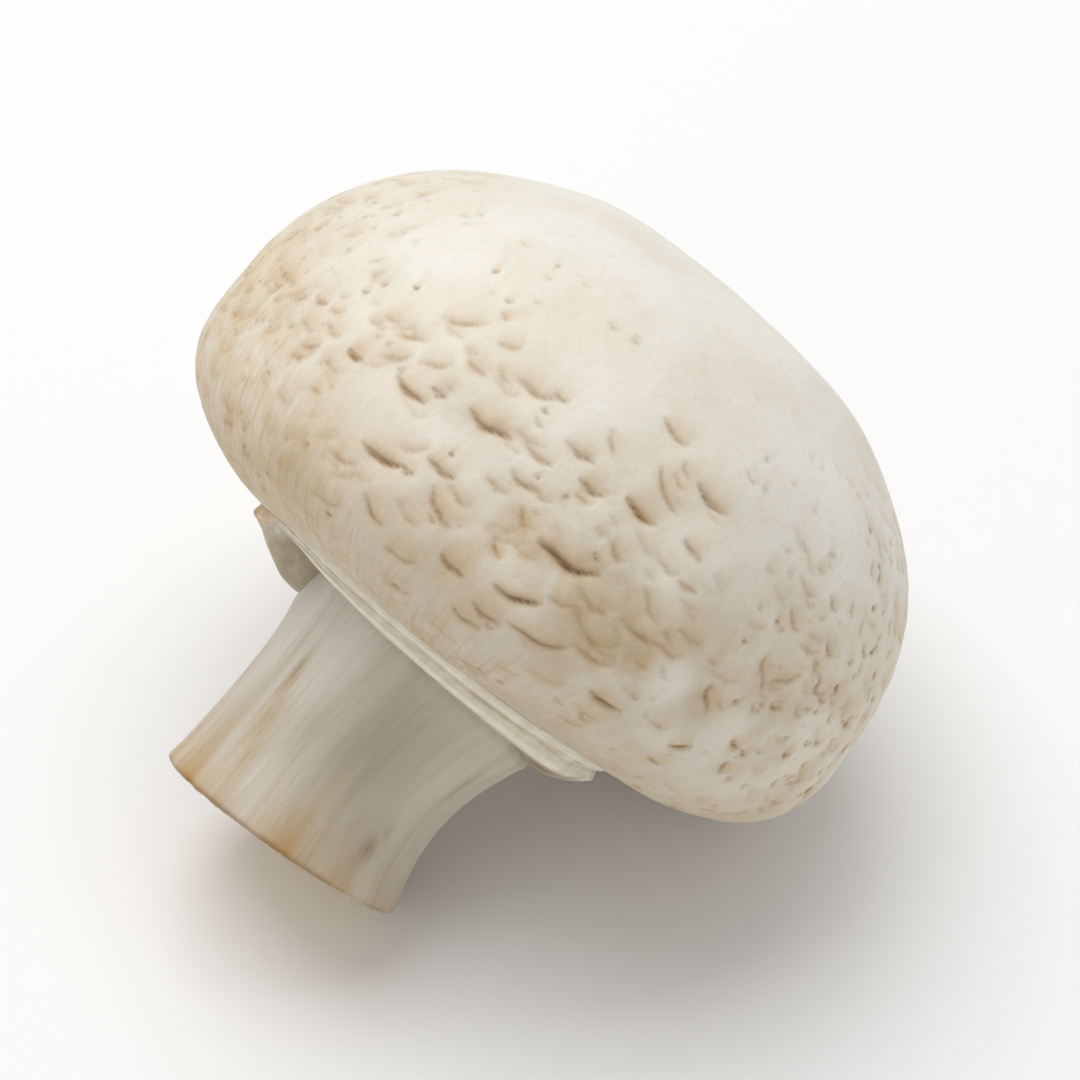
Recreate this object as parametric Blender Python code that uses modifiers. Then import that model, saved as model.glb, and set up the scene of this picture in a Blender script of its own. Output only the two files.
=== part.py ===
"""Button mushroom: a closed cap, the torn veil round its margin and a cut stem, grown as one body.

It is shaped upright and then laid on its side. While it is upright, +Z runs from the cut stem to
the top of the cap and Z = 0 is the plane of the cap's margin. Azimuths are angles about +Z from
+X, the side that it comes to lie on. Heights on the cap's skin are read along its outline, as the
distance walked from the top of the cap.
"""

import math

import bpy
import numpy as np

MM = 0.001

# Cap
CAP_RADIUS = 24.0 * MM
CAP_TOP = 28.3 * MM
CAP_WIDEST = 9.5 * MM
DOME_EXPONENT = 2.25
CHEEK_EXPONENT = 2.45
MARGIN_RADIUS = 14.0 * MM
MARGIN_HEIGHT = 0.8 * MM
MARGIN_FADE = 3.0 * MM

# Veil collar, as (radius, height) from the cap's margin to the stem
COLLAR_OUTLINE = [
    (13.65 * MM, 0.70 * MM),
    (13.30 * MM, 0.40 * MM),
    (12.80 * MM, -0.15 * MM),
    (12.10 * MM, -0.95 * MM),
    (11.10 * MM, -1.60 * MM),
    (10.00 * MM, -2.10 * MM),
    (9.25 * MM, -2.25 * MM),
]
COLLAR_FOLDS = 15
FINE_FOLDS = 34.5
FINE_FOLD_SHARE = 0.6
COLLAR_FOLD_HEIGHT = 0.07 * MM
COLLAR_EDGE = (12.75 * MM, -0.15 * MM)
EDGE_THICKNESS = 1.1 * MM

# The turned collar is drawn in under its edge in front, out at its lobe and out at its torn flap.
# For each height in millimetres: out and up in front, at the lobe and at the flap, and the share
# of the slant, all in millimetres but the share
VEIL_DRAWS = [
    (-6.50, 0.00, 0.00, 0.00, 0.00, 0.00, 0.00, 0.0),
    (-2.75, 0.05, 1.15, 0.00, -0.10, 0.00, -0.60, 1.0),
    (-2.25, 0.05, 1.20, 0.30, -0.10, 0.05, -0.75, 1.0),
    (-2.10, 0.20, 1.10, 0.50, -0.10, 0.45, -0.70, 1.0),
    (-1.60, 0.40, 0.65, 0.55, -0.10, 0.75, -0.50, 1.0),
    (-0.95, 0.25, 0.23, 0.35, 0.00, 1.00, -0.35, 1.0),
    (-0.15, 0.00, 0.00, -0.30, 0.00, 1.35, -0.45, 0.5),
    (0.40, 0.00, 0.00, -0.20, 0.00, 0.80, -0.15, 0.1),
    (0.80, 0.00, 0.00, 0.00, 0.00, 0.00, 0.00, 0.0),
]
VEIL_SLANT = 0.60 * MM
FRONT_LEFT = (math.radians(-88), math.radians(-66))
FRONT_RIGHT = (math.radians(76), math.radians(50))
LOBE_CENTRE = math.radians(80)
LOBE_SPREAD = math.radians(22)
FLAP_CENTRE = math.radians(-88)
FLAP_SPREAD = math.radians(20)
FLAP_FOOT_SPREAD = math.radians(10)
FLAP_FOOT = (-2.10 * MM, -0.95 * MM)

# Stem
STEM_TOP = -2.75 * MM
STEM_END = -15.6 * MM
NECK_RADIUS = 8.9 * MM
WAIST_RADIUS = 7.8 * MM
WAIST_HEIGHT = -9.2 * MM
END_RADIUS = 8.6 * MM
END_ROUNDING = 0.35 * MM
CUT_RISE = 0.4 * MM
CUT_AZIMUTH = math.radians(-58)
PITH_RADIUS = 2.6 * MM
PITH_DEPTH = 0.35 * MM
STEM_RIBS = 9
FINE_RIB_SHARE = 0.5
STEM_RIB_HEIGHT = 0.06 * MM
RIB_FADE = 2.0 * MM
FACE_EDGE = (0.80, 0.95)
STEM_BEND = 0.50 * MM
STEM_LEAN = 0.55 * MM
LEAN_AZIMUTH = math.radians(122)

# Main scales on the side that faces up: degrees round from the face, millimetres from the top,
# half width in millimetres, skew in degrees, and how deep the crack is
MAIN_SCALES = [
    (-60.0, 31.2, 0.7, 5, 0.40),
    (-51.0, 30.8, 0.8, -5, 0.75),
    (-45.5, 33.2, 0.9, -28, 0.50),
    (-39.0, 35.0, 0.6, 0, 0.35),
    (-37.5, 31.9, 0.8, 0, 0.95),
    (-37.5, 28.7, 0.8, -20, 0.40),
    (-33.0, 28.8, 1.1, -25, 0.45),
    (-28.5, 25.9, 1.6, -33, 0.50),
    (-26.3, 31.2, 1.6, 4, 0.85),
    (-23.0, 35.3, 1.7, -8, 0.95),
    (-21.0, 27.7, 0.9, 5, 0.55),
    (-20.0, 25.3, 0.9, -30, 0.40),
    (-19.5, 38.3, 1.3, 30, 0.65),
    (-14.8, 33.7, 1.2, 0, 0.90),
    (-13.5, 29.8, 1.7, -6, 0.90),
    (-12.5, 39.6, 1.3, -10, 0.50),
    (-12.0, 26.3, 1.6, -8, 0.55),
    (-11.8, 35.6, 1.4, 35, 0.65),
    (-5.2, 38.0, 1.1, 8, 1.00),
    (-5.0, 29.4, 1.2, 0, 0.60),
    (-4.3, 31.2, 1.3, 0, 0.65),
    (-1.5, 35.4, 0.8, 40, 0.60),
    (-1.0, 33.0, 0.9, 45, 0.60),
    (0.0, 27.7, 1.0, 0, 0.65),
    (1.2, 40.2, 1.2, 0, 0.75),
    (2.5, 26.0, 1.0, 50, 0.45),
    (3.2, 39.0, 1.2, 0, 0.75),
    (4.0, 29.0, 1.1, 0, 0.85),
    (4.8, 36.8, 1.7, -18, 1.00),
    (7.5, 33.2, 2.3, -5, 1.00),
    (9.8, 22.9, 1.2, 15, 0.60),
    (11.0, 38.0, 2.2, -12, 0.65),
    (12.0, 28.3, 1.4, 8, 0.90),
    (12.5, 31.2, 0.9, 45, 0.50),
    (14.0, 26.3, 1.7, 35, 0.55),
    (14.5, 24.6, 0.7, 45, 0.45),
    (19.0, 37.0, 1.6, -5, 0.55),
    (20.5, 25.0, 1.5, 12, 0.80),
    (21.5, 28.3, 0.9, 15, 0.55),
    (23.0, 34.0, 2.0, -5, 0.50),
    (24.0, 30.3, 0.9, 0, 0.55),
    (25.5, 38.9, 1.5, 3, 1.00),
    (29.0, 32.6, 1.2, 0, 0.40),
    (38.5, 35.0, 1.1, 48, 0.75),
    (41.0, 38.6, 0.9, -35, 0.95),
    (41.5, 40.8, 0.7, 10, 0.65),
    (43.5, 31.6, 1.1, 55, 0.65),
    (44.5, 28.2, 1.0, 40, 0.55),
    (48.0, 31.4, 1.3, -35, 0.60),
    (48.5, 36.5, 0.7, 20, 0.95),
    (50.0, 33.2, 0.7, 0, 0.85),
    (51.0, 38.2, 0.6, 60, 0.85),
    (54.0, 28.6, 0.7, 40, 0.65),
    (58.5, 31.4, 0.6, 0, 0.75),
]
SURVEYED = math.radians(64)

# The other scales stand in staggered rows
SCALE_SEED = 41
SCALE_BAND = (16.0 * MM, 43.0 * MM)
SCALE_TOP = 24.0 * MM
ROW_PITCH = 2.5 * MM
SCALE_PITCH = 3.6 * MM
ROW_JITTER = 0.30
PLACE_JITTER = 0.32
SCALE_HALF_WIDTH = (0.6 * MM, 1.8 * MM)
SCALE_STRENGTH = (0.40, 0.95)
END_STRENGTH = 0.30
END_SINES = (0.60, 0.95)
SKEW_REACH = 0.42
SKEW_JITTER = 0.35
FACE_AZIMUTH = math.radians(-148)

# The relief of one scale and of the crack below it
SCALE_DEPTH = 0.38
SCALE_REACH = 3.0 * MM
SCALE_BOW = 0.24
SCALE_LIP = 0.46
LIP_TAIL = 1.20 * MM
SLOPE_TAIL = 0.40 * MM
WALL_TAIL = 0.34 * MM
STEP_SHARE = 0.18
STEP_TAIL = 1.1 * MM

# How much slimmer the whole is toward its left end
LEFT_SLIMMER = 0.014

# Slow swellings of the whole skin
SWELL_SEED = 5
SWELL_WAVES = 9
SWELL_LENGTH = (9.0 * MM, 17.0 * MM)
SWELL_HEIGHT = 0.045 * MM

# Resting side
SINK = 0.30 * MM
PRESSED_WIDTH = 7.0 * MM
PRESSED_HEIGHT = 6.0 * MM
PRESSED_FROM_MARGIN = 9.5 * MM
PRESSED_EDGE = (0.5, 1.2)
TILTS = (math.radians(15), math.radians(60))
TILT_STEP = 1e-7

# Mesh
ROW_SPACING = 0.45 * MM
SEGMENTS = 336
KEPT_FACES = 0.094
MERGE = 1e-6

FLESH = (0.78, 0.71, 0.59, 1.0)
FLESH_ROUGHNESS = 0.62


def smooth_step(low, high, value):
    t = np.clip((value - low) / (high - low), 0.0, 1.0)
    return t * t * (3.0 - 2.0 * t)


def wrapped(angle):
    return (angle + math.pi) % (2.0 * math.pi) - math.pi


def superellipse_arc(radius, height, exponent, count=60):
    """Points from the far end of the height to the far end of the radius."""
    turn = np.linspace(0.0, math.pi / 2.0, count)
    across = radius * np.sin(turn) ** (2.0 / exponent)
    up = height * np.cos(turn) ** (2.0 / exponent)
    up[-1] = 0.0
    return np.column_stack([across, up])


def spline(points, steps=10):
    """A Catmull-Rom curve through the points, its ends extended straight."""
    points = np.asarray(points, float)
    ends = [2.0 * points[0] - points[1]], [2.0 * points[-1] - points[-2]]
    padded = np.concatenate([ends[0], points, ends[1]])
    curve = []
    for a, b, c, d in zip(padded, padded[1:], padded[2:], padded[3:]):
        for t in np.arange(steps) / steps:
            curve.append(
                0.5 * (2.0 * b + (c - a) * t + (2.0 * a - 5.0 * b + 4.0 * c - d) * t**2
                       + (3.0 * b - a - 3.0 * c + d) * t**3)
            )
    return np.array(curve + [points[-1]])


def dome_outline():
    above = superellipse_arc(CAP_RADIUS, CAP_TOP - CAP_WIDEST, DOME_EXPONENT)
    return above + (0.0, CAP_WIDEST)


def cheek_outline():
    below = superellipse_arc(
        CAP_RADIUS - MARGIN_RADIUS, CAP_WIDEST - MARGIN_HEIGHT, CHEEK_EXPONENT
    )[::-1]
    return np.column_stack([MARGIN_RADIUS + below[:, 0], CAP_WIDEST - below[:, 1]])


def stem_outline():
    """The waisted side of the stem, its rounded cut edge and the cut face with its pith."""
    height = np.linspace(STEM_TOP, STEM_END + END_ROUNDING, 24)
    toward_neck = (height - WAIST_HEIGHT) / (STEM_TOP - WAIST_HEIGHT)
    toward_end = (height - WAIST_HEIGHT) / (STEM_END - WAIST_HEIGHT)
    radius = WAIST_RADIUS + np.where(
        height > WAIST_HEIGHT,
        (NECK_RADIUS - WAIST_RADIUS) * toward_neck**2,
        (END_RADIUS - WAIST_RADIUS) * toward_end**2,
    )
    side = np.column_stack([radius, height])
    turn = np.linspace(0.0, math.pi / 2.0, 6)[1:]
    edge = np.column_stack([
        radius[-1] - END_ROUNDING * (1.0 - np.cos(turn)),
        height[-1] - END_ROUNDING * np.sin(turn),
    ])
    across = np.linspace(edge[-1, 0], 0.0, 24)[1:]
    dish = PITH_DEPTH * np.exp(-((across / PITH_RADIUS) ** 4))
    face = np.column_stack([across, STEM_END + dish])
    return np.concatenate([side, edge, face])


def walked(outline):
    """The distance walked along the outline to each of its points."""
    steps = np.hypot(*np.diff(outline, axis=0).T)
    return np.concatenate([[0.0], np.cumsum(steps)])


def whole_outline():
    """The half outline from the cap's top to the middle of the cut face, evenly spaced."""
    rough = np.concatenate([
        dome_outline(), cheek_outline()[1:], spline(COLLAR_OUTLINE), stem_outline()
    ])
    far = walked(rough)
    even = np.linspace(0.0, far[-1], round(far[-1] / ROW_SPACING))
    return np.column_stack([np.interp(even, far, rough[:, i]) for i in (0, 1)])


def cap_length():
    """The distance from the cap's top to its margin."""
    return walked(np.concatenate([dome_outline(), cheek_outline()[1:]]))[-1]


def facing(azimuth):
    """How far round an azimuth is from the side with the main scales, negative to its left."""
    return wrapped(azimuth - FACE_AZIMUTH)


def end_share(azimuth):
    """0 in the middle of the front and of the back, 1 at the two ends between them."""
    return smooth_step(*END_SINES, np.abs(np.sin(facing(azimuth))))


def lay_scales(outline):
    """Every large scale: its azimuth, distance from the top, half width, skew and strength."""
    scales = [
        (FACE_AZIMUTH + math.radians(turn), along * MM, half * MM, math.radians(skew), strength)
        for turn, along, half, skew, strength in MAIN_SCALES
    ]
    rng = np.random.default_rng(SCALE_SEED)
    far = walked(outline)
    for row, distance in enumerate(np.arange(*SCALE_BAND, ROW_PITCH)):
        radius = np.interp(distance, far, outline[:, 0])
        count = round(2.0 * math.pi * radius / SCALE_PITCH)
        for place in range(count):
            shift, slide, size, twist, depth = rng.uniform(-1.0, 1.0, 5)
            step = place + 0.5 * (row % 2) + PLACE_JITTER * shift
            azimuth = step * 2.0 * math.pi / count
            if abs(facing(azimuth)) < SURVEYED:
                continue
            along = distance + ROW_JITTER * ROW_PITCH * slide
            half = np.interp(size, (-1.0, 1.0), SCALE_HALF_WIDTH)
            skew = SKEW_REACH * math.sin(facing(azimuth)) + SKEW_JITTER * twist
            strength = np.interp(depth, (-1.0, 1.0), SCALE_STRENGTH)
            strength *= 1.0 - (1.0 - END_STRENGTH) * end_share(azimuth)
            strength *= smooth_step(SCALE_BAND[0], SCALE_TOP, along)
            scales.append((azimuth, along, half, skew, strength))
    return scales


def crack_profile(past):
    """Height across a crack for each unit of depth: a lip, a slope down into it and a wall."""
    lip = SCALE_LIP * np.exp(np.minimum(past, 0.0) / LIP_TAIL)
    slope = (1.0 + SCALE_LIP) * np.exp(np.minimum(past, 0.0) / SLOPE_TAIL)
    wall = (1.0 - STEP_SHARE) * np.exp(-np.maximum(past, 0.0) / WALL_TAIL)
    step = STEP_SHARE * np.exp(-np.maximum(past, 0.0) / STEP_TAIL)
    return np.where(past < 0.0, lip - slope, -wall - step)


def scale_relief(outline, azimuth, distance, radius):
    """Height of every large scale's lip and crack over the skin."""
    height = np.zeros_like(azimuth)
    for centre, along, half, skew, strength in lay_scales(outline):
        across = wrapped(azimuth - centre) * radius
        down = distance - along
        u = (across * math.cos(skew) + down * math.sin(skew)) / half
        v = down * math.cos(skew) - across * math.sin(skew)
        near = (np.abs(u) < 1.0) & (np.abs(v) < SCALE_REACH)
        inside = 1.0 - u[near] ** 2
        past = v[near] - SCALE_BOW * half * inside
        height[near] += SCALE_DEPTH * half * strength * inside * crack_profile(past)
    return height


def swelling(points):
    """A slow rise and fall over the skin, from a few waves that run in drawn directions."""
    rng = np.random.default_rng(SWELL_SEED)
    total = np.zeros(len(points))
    for _ in range(SWELL_WAVES):
        heading = rng.normal(size=3)
        heading /= np.linalg.norm(heading)
        length = rng.uniform(*SWELL_LENGTH)
        phase = rng.uniform(0.0, 2.0 * math.pi)
        total += np.sin(points @ heading * 2.0 * math.pi / length + phase)
    return SWELL_HEIGHT * total


def pressed(azimuth, distance, radius, margin_distance):
    """0 where the cap's cheek lies on the ground, rising to 1 away from it."""
    across = wrapped(azimuth) * radius / PRESSED_WIDTH
    down = (distance - margin_distance + PRESSED_FROM_MARGIN) / PRESSED_HEIGHT
    return smooth_step(*PRESSED_EDGE, np.hypot(across, down))


def outline_normals(outline):
    """The outward direction, as (radial, up), at each point of an outline run top to bottom."""
    along = np.gradient(outline, axis=0)
    outward = np.column_stack([-along[:, 1], along[:, 0]])
    return outward / np.linalg.norm(outward, axis=1)[:, None]


def veil_draw(azimuth, radius, height):
    """How far out and up the veil is drawn from the turned collar."""
    side = facing(azimuth)
    front = smooth_step(*FRONT_LEFT, side) * smooth_step(*FRONT_RIGHT, side)
    lobe = np.exp(-(((side - LOBE_CENTRE) / LOBE_SPREAD) ** 2))
    flap_spread = np.interp(height, FLAP_FOOT, (FLAP_FOOT_SPREAD, FLAP_SPREAD))
    flap = np.exp(-(((side - FLAP_CENTRE) / flap_spread) ** 2))
    levels, *draws, slanted = np.array(VEIL_DRAWS).T
    front_out, front_up, lobe_out, lobe_up, flap_out, flap_up = (
        MM * np.interp(height / MM, levels, draw) for draw in draws
    )
    from_edge = np.hypot(radius - COLLAR_EDGE[0], height - COLLAR_EDGE[1])
    on_edge = np.exp(-((from_edge / EDGE_THICKNESS) ** 2))
    folds = np.sin(COLLAR_FOLDS * side) + FINE_FOLD_SHARE * np.sin(FINE_FOLDS * side)
    out = front * front_out + lobe * lobe_out + flap * flap_out
    up = front * front_up + lobe * lobe_up + flap * flap_up
    up -= VEIL_SLANT * side * front * np.interp(height / MM, levels, slanted)
    return out + COLLAR_FOLD_HEIGHT * on_edge * folds, up


def stem_aside(height):
    """How far the stem stands aside of the cap's axis, as it bends and leans."""
    down = np.clip((STEM_TOP - height) / (STEM_TOP - STEM_END), 0.0, 1.0)
    return STEM_BEND * np.sin(math.pi * down) + STEM_LEAN * down


def slimmer(azimuth):
    """What the distance from the axis is multiplied by."""
    return 1.0 - LEFT_SLIMMER * np.maximum(-np.sin(facing(azimuth)), 0.0) ** 2


def shaped(points, outline):
    """The turned body's points, moved by every relief of cap, veil and stem."""
    azimuth = np.arctan2(points[:, 1], points[:, 0])
    radius = np.hypot(points[:, 0], points[:, 1])
    height = points[:, 2]
    gap = (radius[:, None] - outline[:, 0]) ** 2 + (height[:, None] - outline[:, 1]) ** 2
    row = np.argmin(gap, axis=1)
    distance = walked(outline)[row]
    margin_distance = cap_length()

    on_cap = 1.0 - smooth_step(margin_distance - MARGIN_FADE, margin_distance, distance)
    skin = swelling(points) + scale_relief(outline, azimuth, distance, np.maximum(radius, MERGE))
    push = skin * on_cap * pressed(azimuth, distance, radius, margin_distance)

    on_stem = smooth_step(STEM_TOP, STEM_TOP - RIB_FADE, height)
    on_side = on_stem * smooth_step(*FACE_EDGE, radius / WAIST_RADIUS)
    ribs = -np.cos(STEM_RIBS * azimuth) - FINE_RIB_SHARE * np.cos(2 * STEM_RIBS * azimuth + 1.0)
    push += STEM_RIB_HEIGHT * ribs * on_side

    outward = outline_normals(outline)[row]
    out, up = veil_draw(azimuth, radius, height)
    reach = (radius + push * outward[:, 0] + out) * slimmer(azimuth)
    aside = stem_aside(height)
    moved = np.column_stack([
        reach * np.cos(azimuth) + aside * math.cos(LEAN_AZIMUTH),
        reach * np.sin(azimuth) + aside * math.sin(LEAN_AZIMUTH),
        height + push * outward[:, 1] + up,
    ])

    toward_cut = smooth_step(WAIST_HEIGHT, STEM_END, height)
    toward_rise = points[:, 0] * math.cos(CUT_AZIMUTH) + points[:, 1] * math.sin(CUT_AZIMUTH)
    moved[:, 2] += toward_cut * CUT_RISE * toward_rise / END_RADIUS
    return moved


def resting_tilt(points):
    """The angle of the stem above the ground at which cap and stem touch it together."""
    on_cap = points[:, 2] > 0.0
    low, high = TILTS
    while high - low > TILT_STEP:
        tilt = (low + high) / 2.0
        depth = points[:, 0] * math.cos(tilt) - points[:, 2] * math.sin(tilt)
        if depth[on_cap].max() > depth[~on_cap].max():
            low = tilt
        else:
            high = tilt
    return tilt


def mesh_points(mesh):
    flat = np.empty(len(mesh.vertices) * 3)
    mesh.vertices.foreach_get("co", flat)
    return flat.reshape(-1, 3)


def turned_mesh(outline):
    """The outline spun into a closed body by a Screw modifier, as a plain mesh."""
    mesh = bpy.data.meshes.new("outline")
    links = [(i, i + 1) for i in range(len(outline) - 1)]
    mesh.from_pydata([(r, 0.0, z) for r, z in outline], links, [])
    guide = bpy.data.objects.new("outline", mesh)
    bpy.context.scene.collection.objects.link(guide)
    screw = guide.modifiers.new("turn", "SCREW")
    screw.steps = screw.render_steps = SEGMENTS
    screw.use_merge_vertices = True
    screw.merge_threshold = MERGE
    graph = bpy.context.evaluated_depsgraph_get()
    turned = bpy.data.meshes.new_from_object(guide.evaluated_get(graph))
    bpy.data.objects.remove(guide)
    return turned


def flesh_material():
    material = bpy.data.materials.new("mushroom flesh")
    material.use_nodes = True
    shader = material.node_tree.nodes["Principled BSDF"]
    shader.inputs["Base Color"].default_value = FLESH
    shader.inputs["Roughness"].default_value = FLESH_ROUGHNESS
    shader.inputs["Metallic"].default_value = 0.0
    return material


def make_mushroom(collection):
    outline = whole_outline()
    mesh = turned_mesh(outline)
    points = shaped(mesh_points(mesh), outline)
    mesh.vertices.foreach_set("co", points.ravel())
    mesh.name = "button_mushroom"
    mesh.shade_smooth()
    mesh.materials.append(flesh_material())

    mushroom = bpy.data.objects.new("button_mushroom", mesh)
    collection.objects.link(mushroom)
    thin_out = mushroom.modifiers.new("thin out", "DECIMATE")
    thin_out.ratio = KEPT_FACES

    tilt = resting_tilt(points)
    mushroom.rotation_euler.y = math.pi / 2.0 - tilt
    bpy.context.view_layer.update()
    turn = np.array(mushroom.matrix_world)[:3, :3]
    lying = points @ turn.T
    low, high = lying.min(axis=0), lying.max(axis=0)
    middle = (low + high) / 2.0
    mushroom.location = (-middle[0], -middle[1], -low[2] - SINK)
    return mushroom


def make_ground_cutter(collection):
    """A block whose top is the ground, which gives the cap and the cut edge their flat spots."""
    side = 4.0 * CAP_RADIUS
    bpy.ops.mesh.primitive_cube_add(size=side, location=(0.0, 0.0, -side / 2.0))
    cutter = bpy.context.object
    cutter.name = "ground_cutter"
    cutter.display_type = "WIRE"
    cutter.hide_render = True
    for old in cutter.users_collection:
        old.objects.unlink(cutter)
    collection.objects.link(cutter)
    return cutter


def main():
    for old in list(bpy.data.objects):
        bpy.data.objects.remove(old)
    mushrooms = bpy.data.collections.new("button_mushroom")
    cutters = bpy.data.collections.new("cutters")
    for collection in (mushrooms, cutters):
        bpy.context.scene.collection.children.link(collection)

    mushroom = make_mushroom(mushrooms)
    cutter = make_ground_cutter(cutters)
    flats = mushroom.modifiers.new("flat spots", "BOOLEAN")
    flats.operation = "DIFFERENCE"
    flats.solver = "EXACT"
    flats.object = cutter


main()
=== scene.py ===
"""Looks of a button mushroom: its scaly cap, torn veil and cut stem, with the fibres they grew.

Each piece is shaped upright, with +Z from the cut stem to the top of the cap and Z = 0 in the
plane of the cap's margin, and is then laid down where the frame's solid lies. Azimuths are angles
about +Z from +X, the side that comes to lie on the ground.
"""

import math

import bpy
import numpy as np
from bpy.props import (
    FloatProperty,
    FloatVectorProperty,
    IntProperty,
    PointerProperty,
)
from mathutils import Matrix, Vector


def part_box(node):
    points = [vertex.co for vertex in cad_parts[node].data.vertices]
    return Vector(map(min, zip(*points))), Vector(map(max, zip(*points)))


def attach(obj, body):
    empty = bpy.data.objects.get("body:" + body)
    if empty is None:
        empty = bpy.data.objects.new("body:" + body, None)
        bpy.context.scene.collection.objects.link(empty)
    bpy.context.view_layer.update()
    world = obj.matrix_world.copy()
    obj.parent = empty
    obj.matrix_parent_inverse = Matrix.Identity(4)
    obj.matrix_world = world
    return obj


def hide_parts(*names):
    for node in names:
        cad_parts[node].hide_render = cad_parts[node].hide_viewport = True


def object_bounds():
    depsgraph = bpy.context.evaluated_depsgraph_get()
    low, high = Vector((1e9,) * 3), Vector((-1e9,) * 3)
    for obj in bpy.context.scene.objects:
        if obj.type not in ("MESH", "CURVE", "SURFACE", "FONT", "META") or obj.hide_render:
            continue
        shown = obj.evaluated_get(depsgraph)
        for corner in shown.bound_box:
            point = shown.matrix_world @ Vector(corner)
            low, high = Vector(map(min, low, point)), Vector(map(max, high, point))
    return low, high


bl_info = {
    "name": "Button Mushroom",
    "version": (1, 0, 0),
    "blender": (4, 5, 0),
    "location": "View3D > Sidebar > Mushroom",
    "description": "Builds a closed-cup button mushroom lying on its side",
    "category": "Add Mesh",
}

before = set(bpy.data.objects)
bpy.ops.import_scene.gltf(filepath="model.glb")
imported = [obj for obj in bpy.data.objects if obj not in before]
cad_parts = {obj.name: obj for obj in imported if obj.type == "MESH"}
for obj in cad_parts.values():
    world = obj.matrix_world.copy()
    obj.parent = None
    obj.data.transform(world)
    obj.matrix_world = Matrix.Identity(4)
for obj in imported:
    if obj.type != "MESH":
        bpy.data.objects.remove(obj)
CAD_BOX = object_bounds()

MM = 0.001
NODE = "button_mushroom"
BODY = "root"

# Veil collar, as (radius, height) from inside the cap to inside the stem
COLLAR_OUTLINE = [
    (12.80 * MM, 2.60 * MM),
    (13.55 * MM, 1.40 * MM),
    (13.65 * MM, 0.78 * MM),
    (13.30 * MM, 0.40 * MM),
    (12.80 * MM, -0.15 * MM),
    (12.10 * MM, -0.95 * MM),
    (11.10 * MM, -1.60 * MM),
    (10.00 * MM, -2.10 * MM),
    (9.25 * MM, -2.25 * MM),
    (8.60 * MM, -2.15 * MM),
    (8.00 * MM, -1.60 * MM),
    (7.60 * MM, 0.20 * MM),
    (7.60 * MM, 2.60 * MM),
]
COLLAR_FOLDS = 15
FINE_FOLDS = 34.5
FINE_FOLD_SHARE = 0.6
COLLAR_FOLD_HEIGHT = 0.07 * MM
COLLAR_EDGE = (12.75 * MM, -0.15 * MM)
EDGE_THICKNESS = 1.1 * MM

# The turned collar is drawn in under its edge in front, out at its lobe and out at its torn flap.
# For each height in millimetres: out and up in front, at the lobe and at the flap, and the share
# of the slant, all in millimetres but the share
VEIL_DRAWS = [
    (-6.50, 0.00, 0.00, 0.00, 0.00, 0.00, 0.00, 0.0),
    (-2.75, 0.05, 1.15, 0.00, -0.10, 0.00, -0.60, 1.0),
    (-2.25, 0.05, 1.20, 0.30, -0.10, 0.05, -0.75, 1.0),
    (-2.10, 0.20, 1.10, 0.50, -0.10, 0.45, -0.70, 1.0),
    (-1.60, 0.40, 0.65, 0.55, -0.10, 0.75, -0.50, 1.0),
    (-0.95, 0.25, 0.23, 0.35, 0.00, 1.00, -0.35, 1.0),
    (-0.15, 0.00, 0.00, -0.30, 0.00, 1.35, -0.45, 0.5),
    (0.40, 0.00, 0.00, -0.20, 0.00, 0.80, -0.15, 0.1),
    (0.80, 0.00, 0.00, 0.00, 0.00, 0.00, 0.00, 0.0),
]
VEIL_SLANT = 0.60 * MM
VEIL_LINE_SLANT = 0.15 * MM
FRONT_LEFT = (math.radians(-88), math.radians(-66))
FRONT_RIGHT = (math.radians(76), math.radians(50))
LOBE_CENTRE = math.radians(80)
LOBE_SPREAD = math.radians(22)
FLAP_CENTRE = math.radians(-88)
FLAP_SPREAD = math.radians(20)
FLAP_FOOT_SPREAD = math.radians(10)
FLAP_FOOT = (-2.10 * MM, -0.95 * MM)

# Height, rise and width of the ridges that run round the veil
VEIL_RIDGES = [
    (0.40 * MM, 0.10 * MM, 0.13 * MM),
    (-0.50 * MM, 0.18 * MM, 0.22 * MM),
    (-0.92 * MM, 0.05 * MM, 0.08 * MM),
]

# Tan patches on the cap, which also paint shade where the cap is darker: degrees from the side with the
# main scales and their spread, millimetres from the top and their spread, and strength
TAN_PATCHES = [
    (2, 7, 33.4, 2.0, 0.85),
    (17, 8, 37.6, 2.6, 0.60),
    (-36, 8, 40.0, 3.0, 0.60),
    (-17, 7, 30.0, 1.6, 0.45),
    (42, 9, 27.5, 2.4, 0.40),
    (-5, 7, 38.5, 1.8, 0.50),
    (27, 6, 39.0, 1.6, 0.40),
    (-52, 7, 33.0, 2.0, 0.25),
]

# Colour marks on the stem's side, the pale ones partly painted light where the stem is lit and the
# darker ones partly painted
# shade where the cap shades it: degrees from the side with the main scales and their spread, height and
# its spread in millimetres, and strength
LIT_PALE_MARKS = [(-50, 36, -4.6, 5.0, 1.0), (-24, 12, -13.0, 2.2, 0.7)]
SHADED_DUSKY_MARKS = [(13, 20, -6.6, 4.4, 1.0), (30, 14, -11.0, 3.0, 0.4), (-86, 9, -6.0, 6.0, 0.3)]
OCHRE_MARKS = [
    (-41, 2.6, -7.2, 1.5, 0.95),
    (-37, 6.0, -9.6, 2.0, 0.70),
    (-31, 4.0, -12.2, 1.4, 0.50),
    (-78, 5.0, -8.0, 3.0, 0.30),
    (-56, 4.0, -12.4, 2.2, 0.50),
    (-70, 9.0, -12.6, 2.6, 0.35),
    (4, 8.0, -13.8, 1.4, 0.30),
]
BROWN_MARKS = [
    (40, 4.5, -12.3, 1.0, 0.80),
    (44, 3.0, -10.8, 0.9, 0.45),
    (35, 2.8, -13.5, 0.9, 0.45),
    (-42, 1.2, -6.3, 0.8, 0.55),
    (61, 2.6, -6.2, 1.4, 0.50),
    (-22, 9.0, -8.2, 1.6, 0.12),
]
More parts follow.
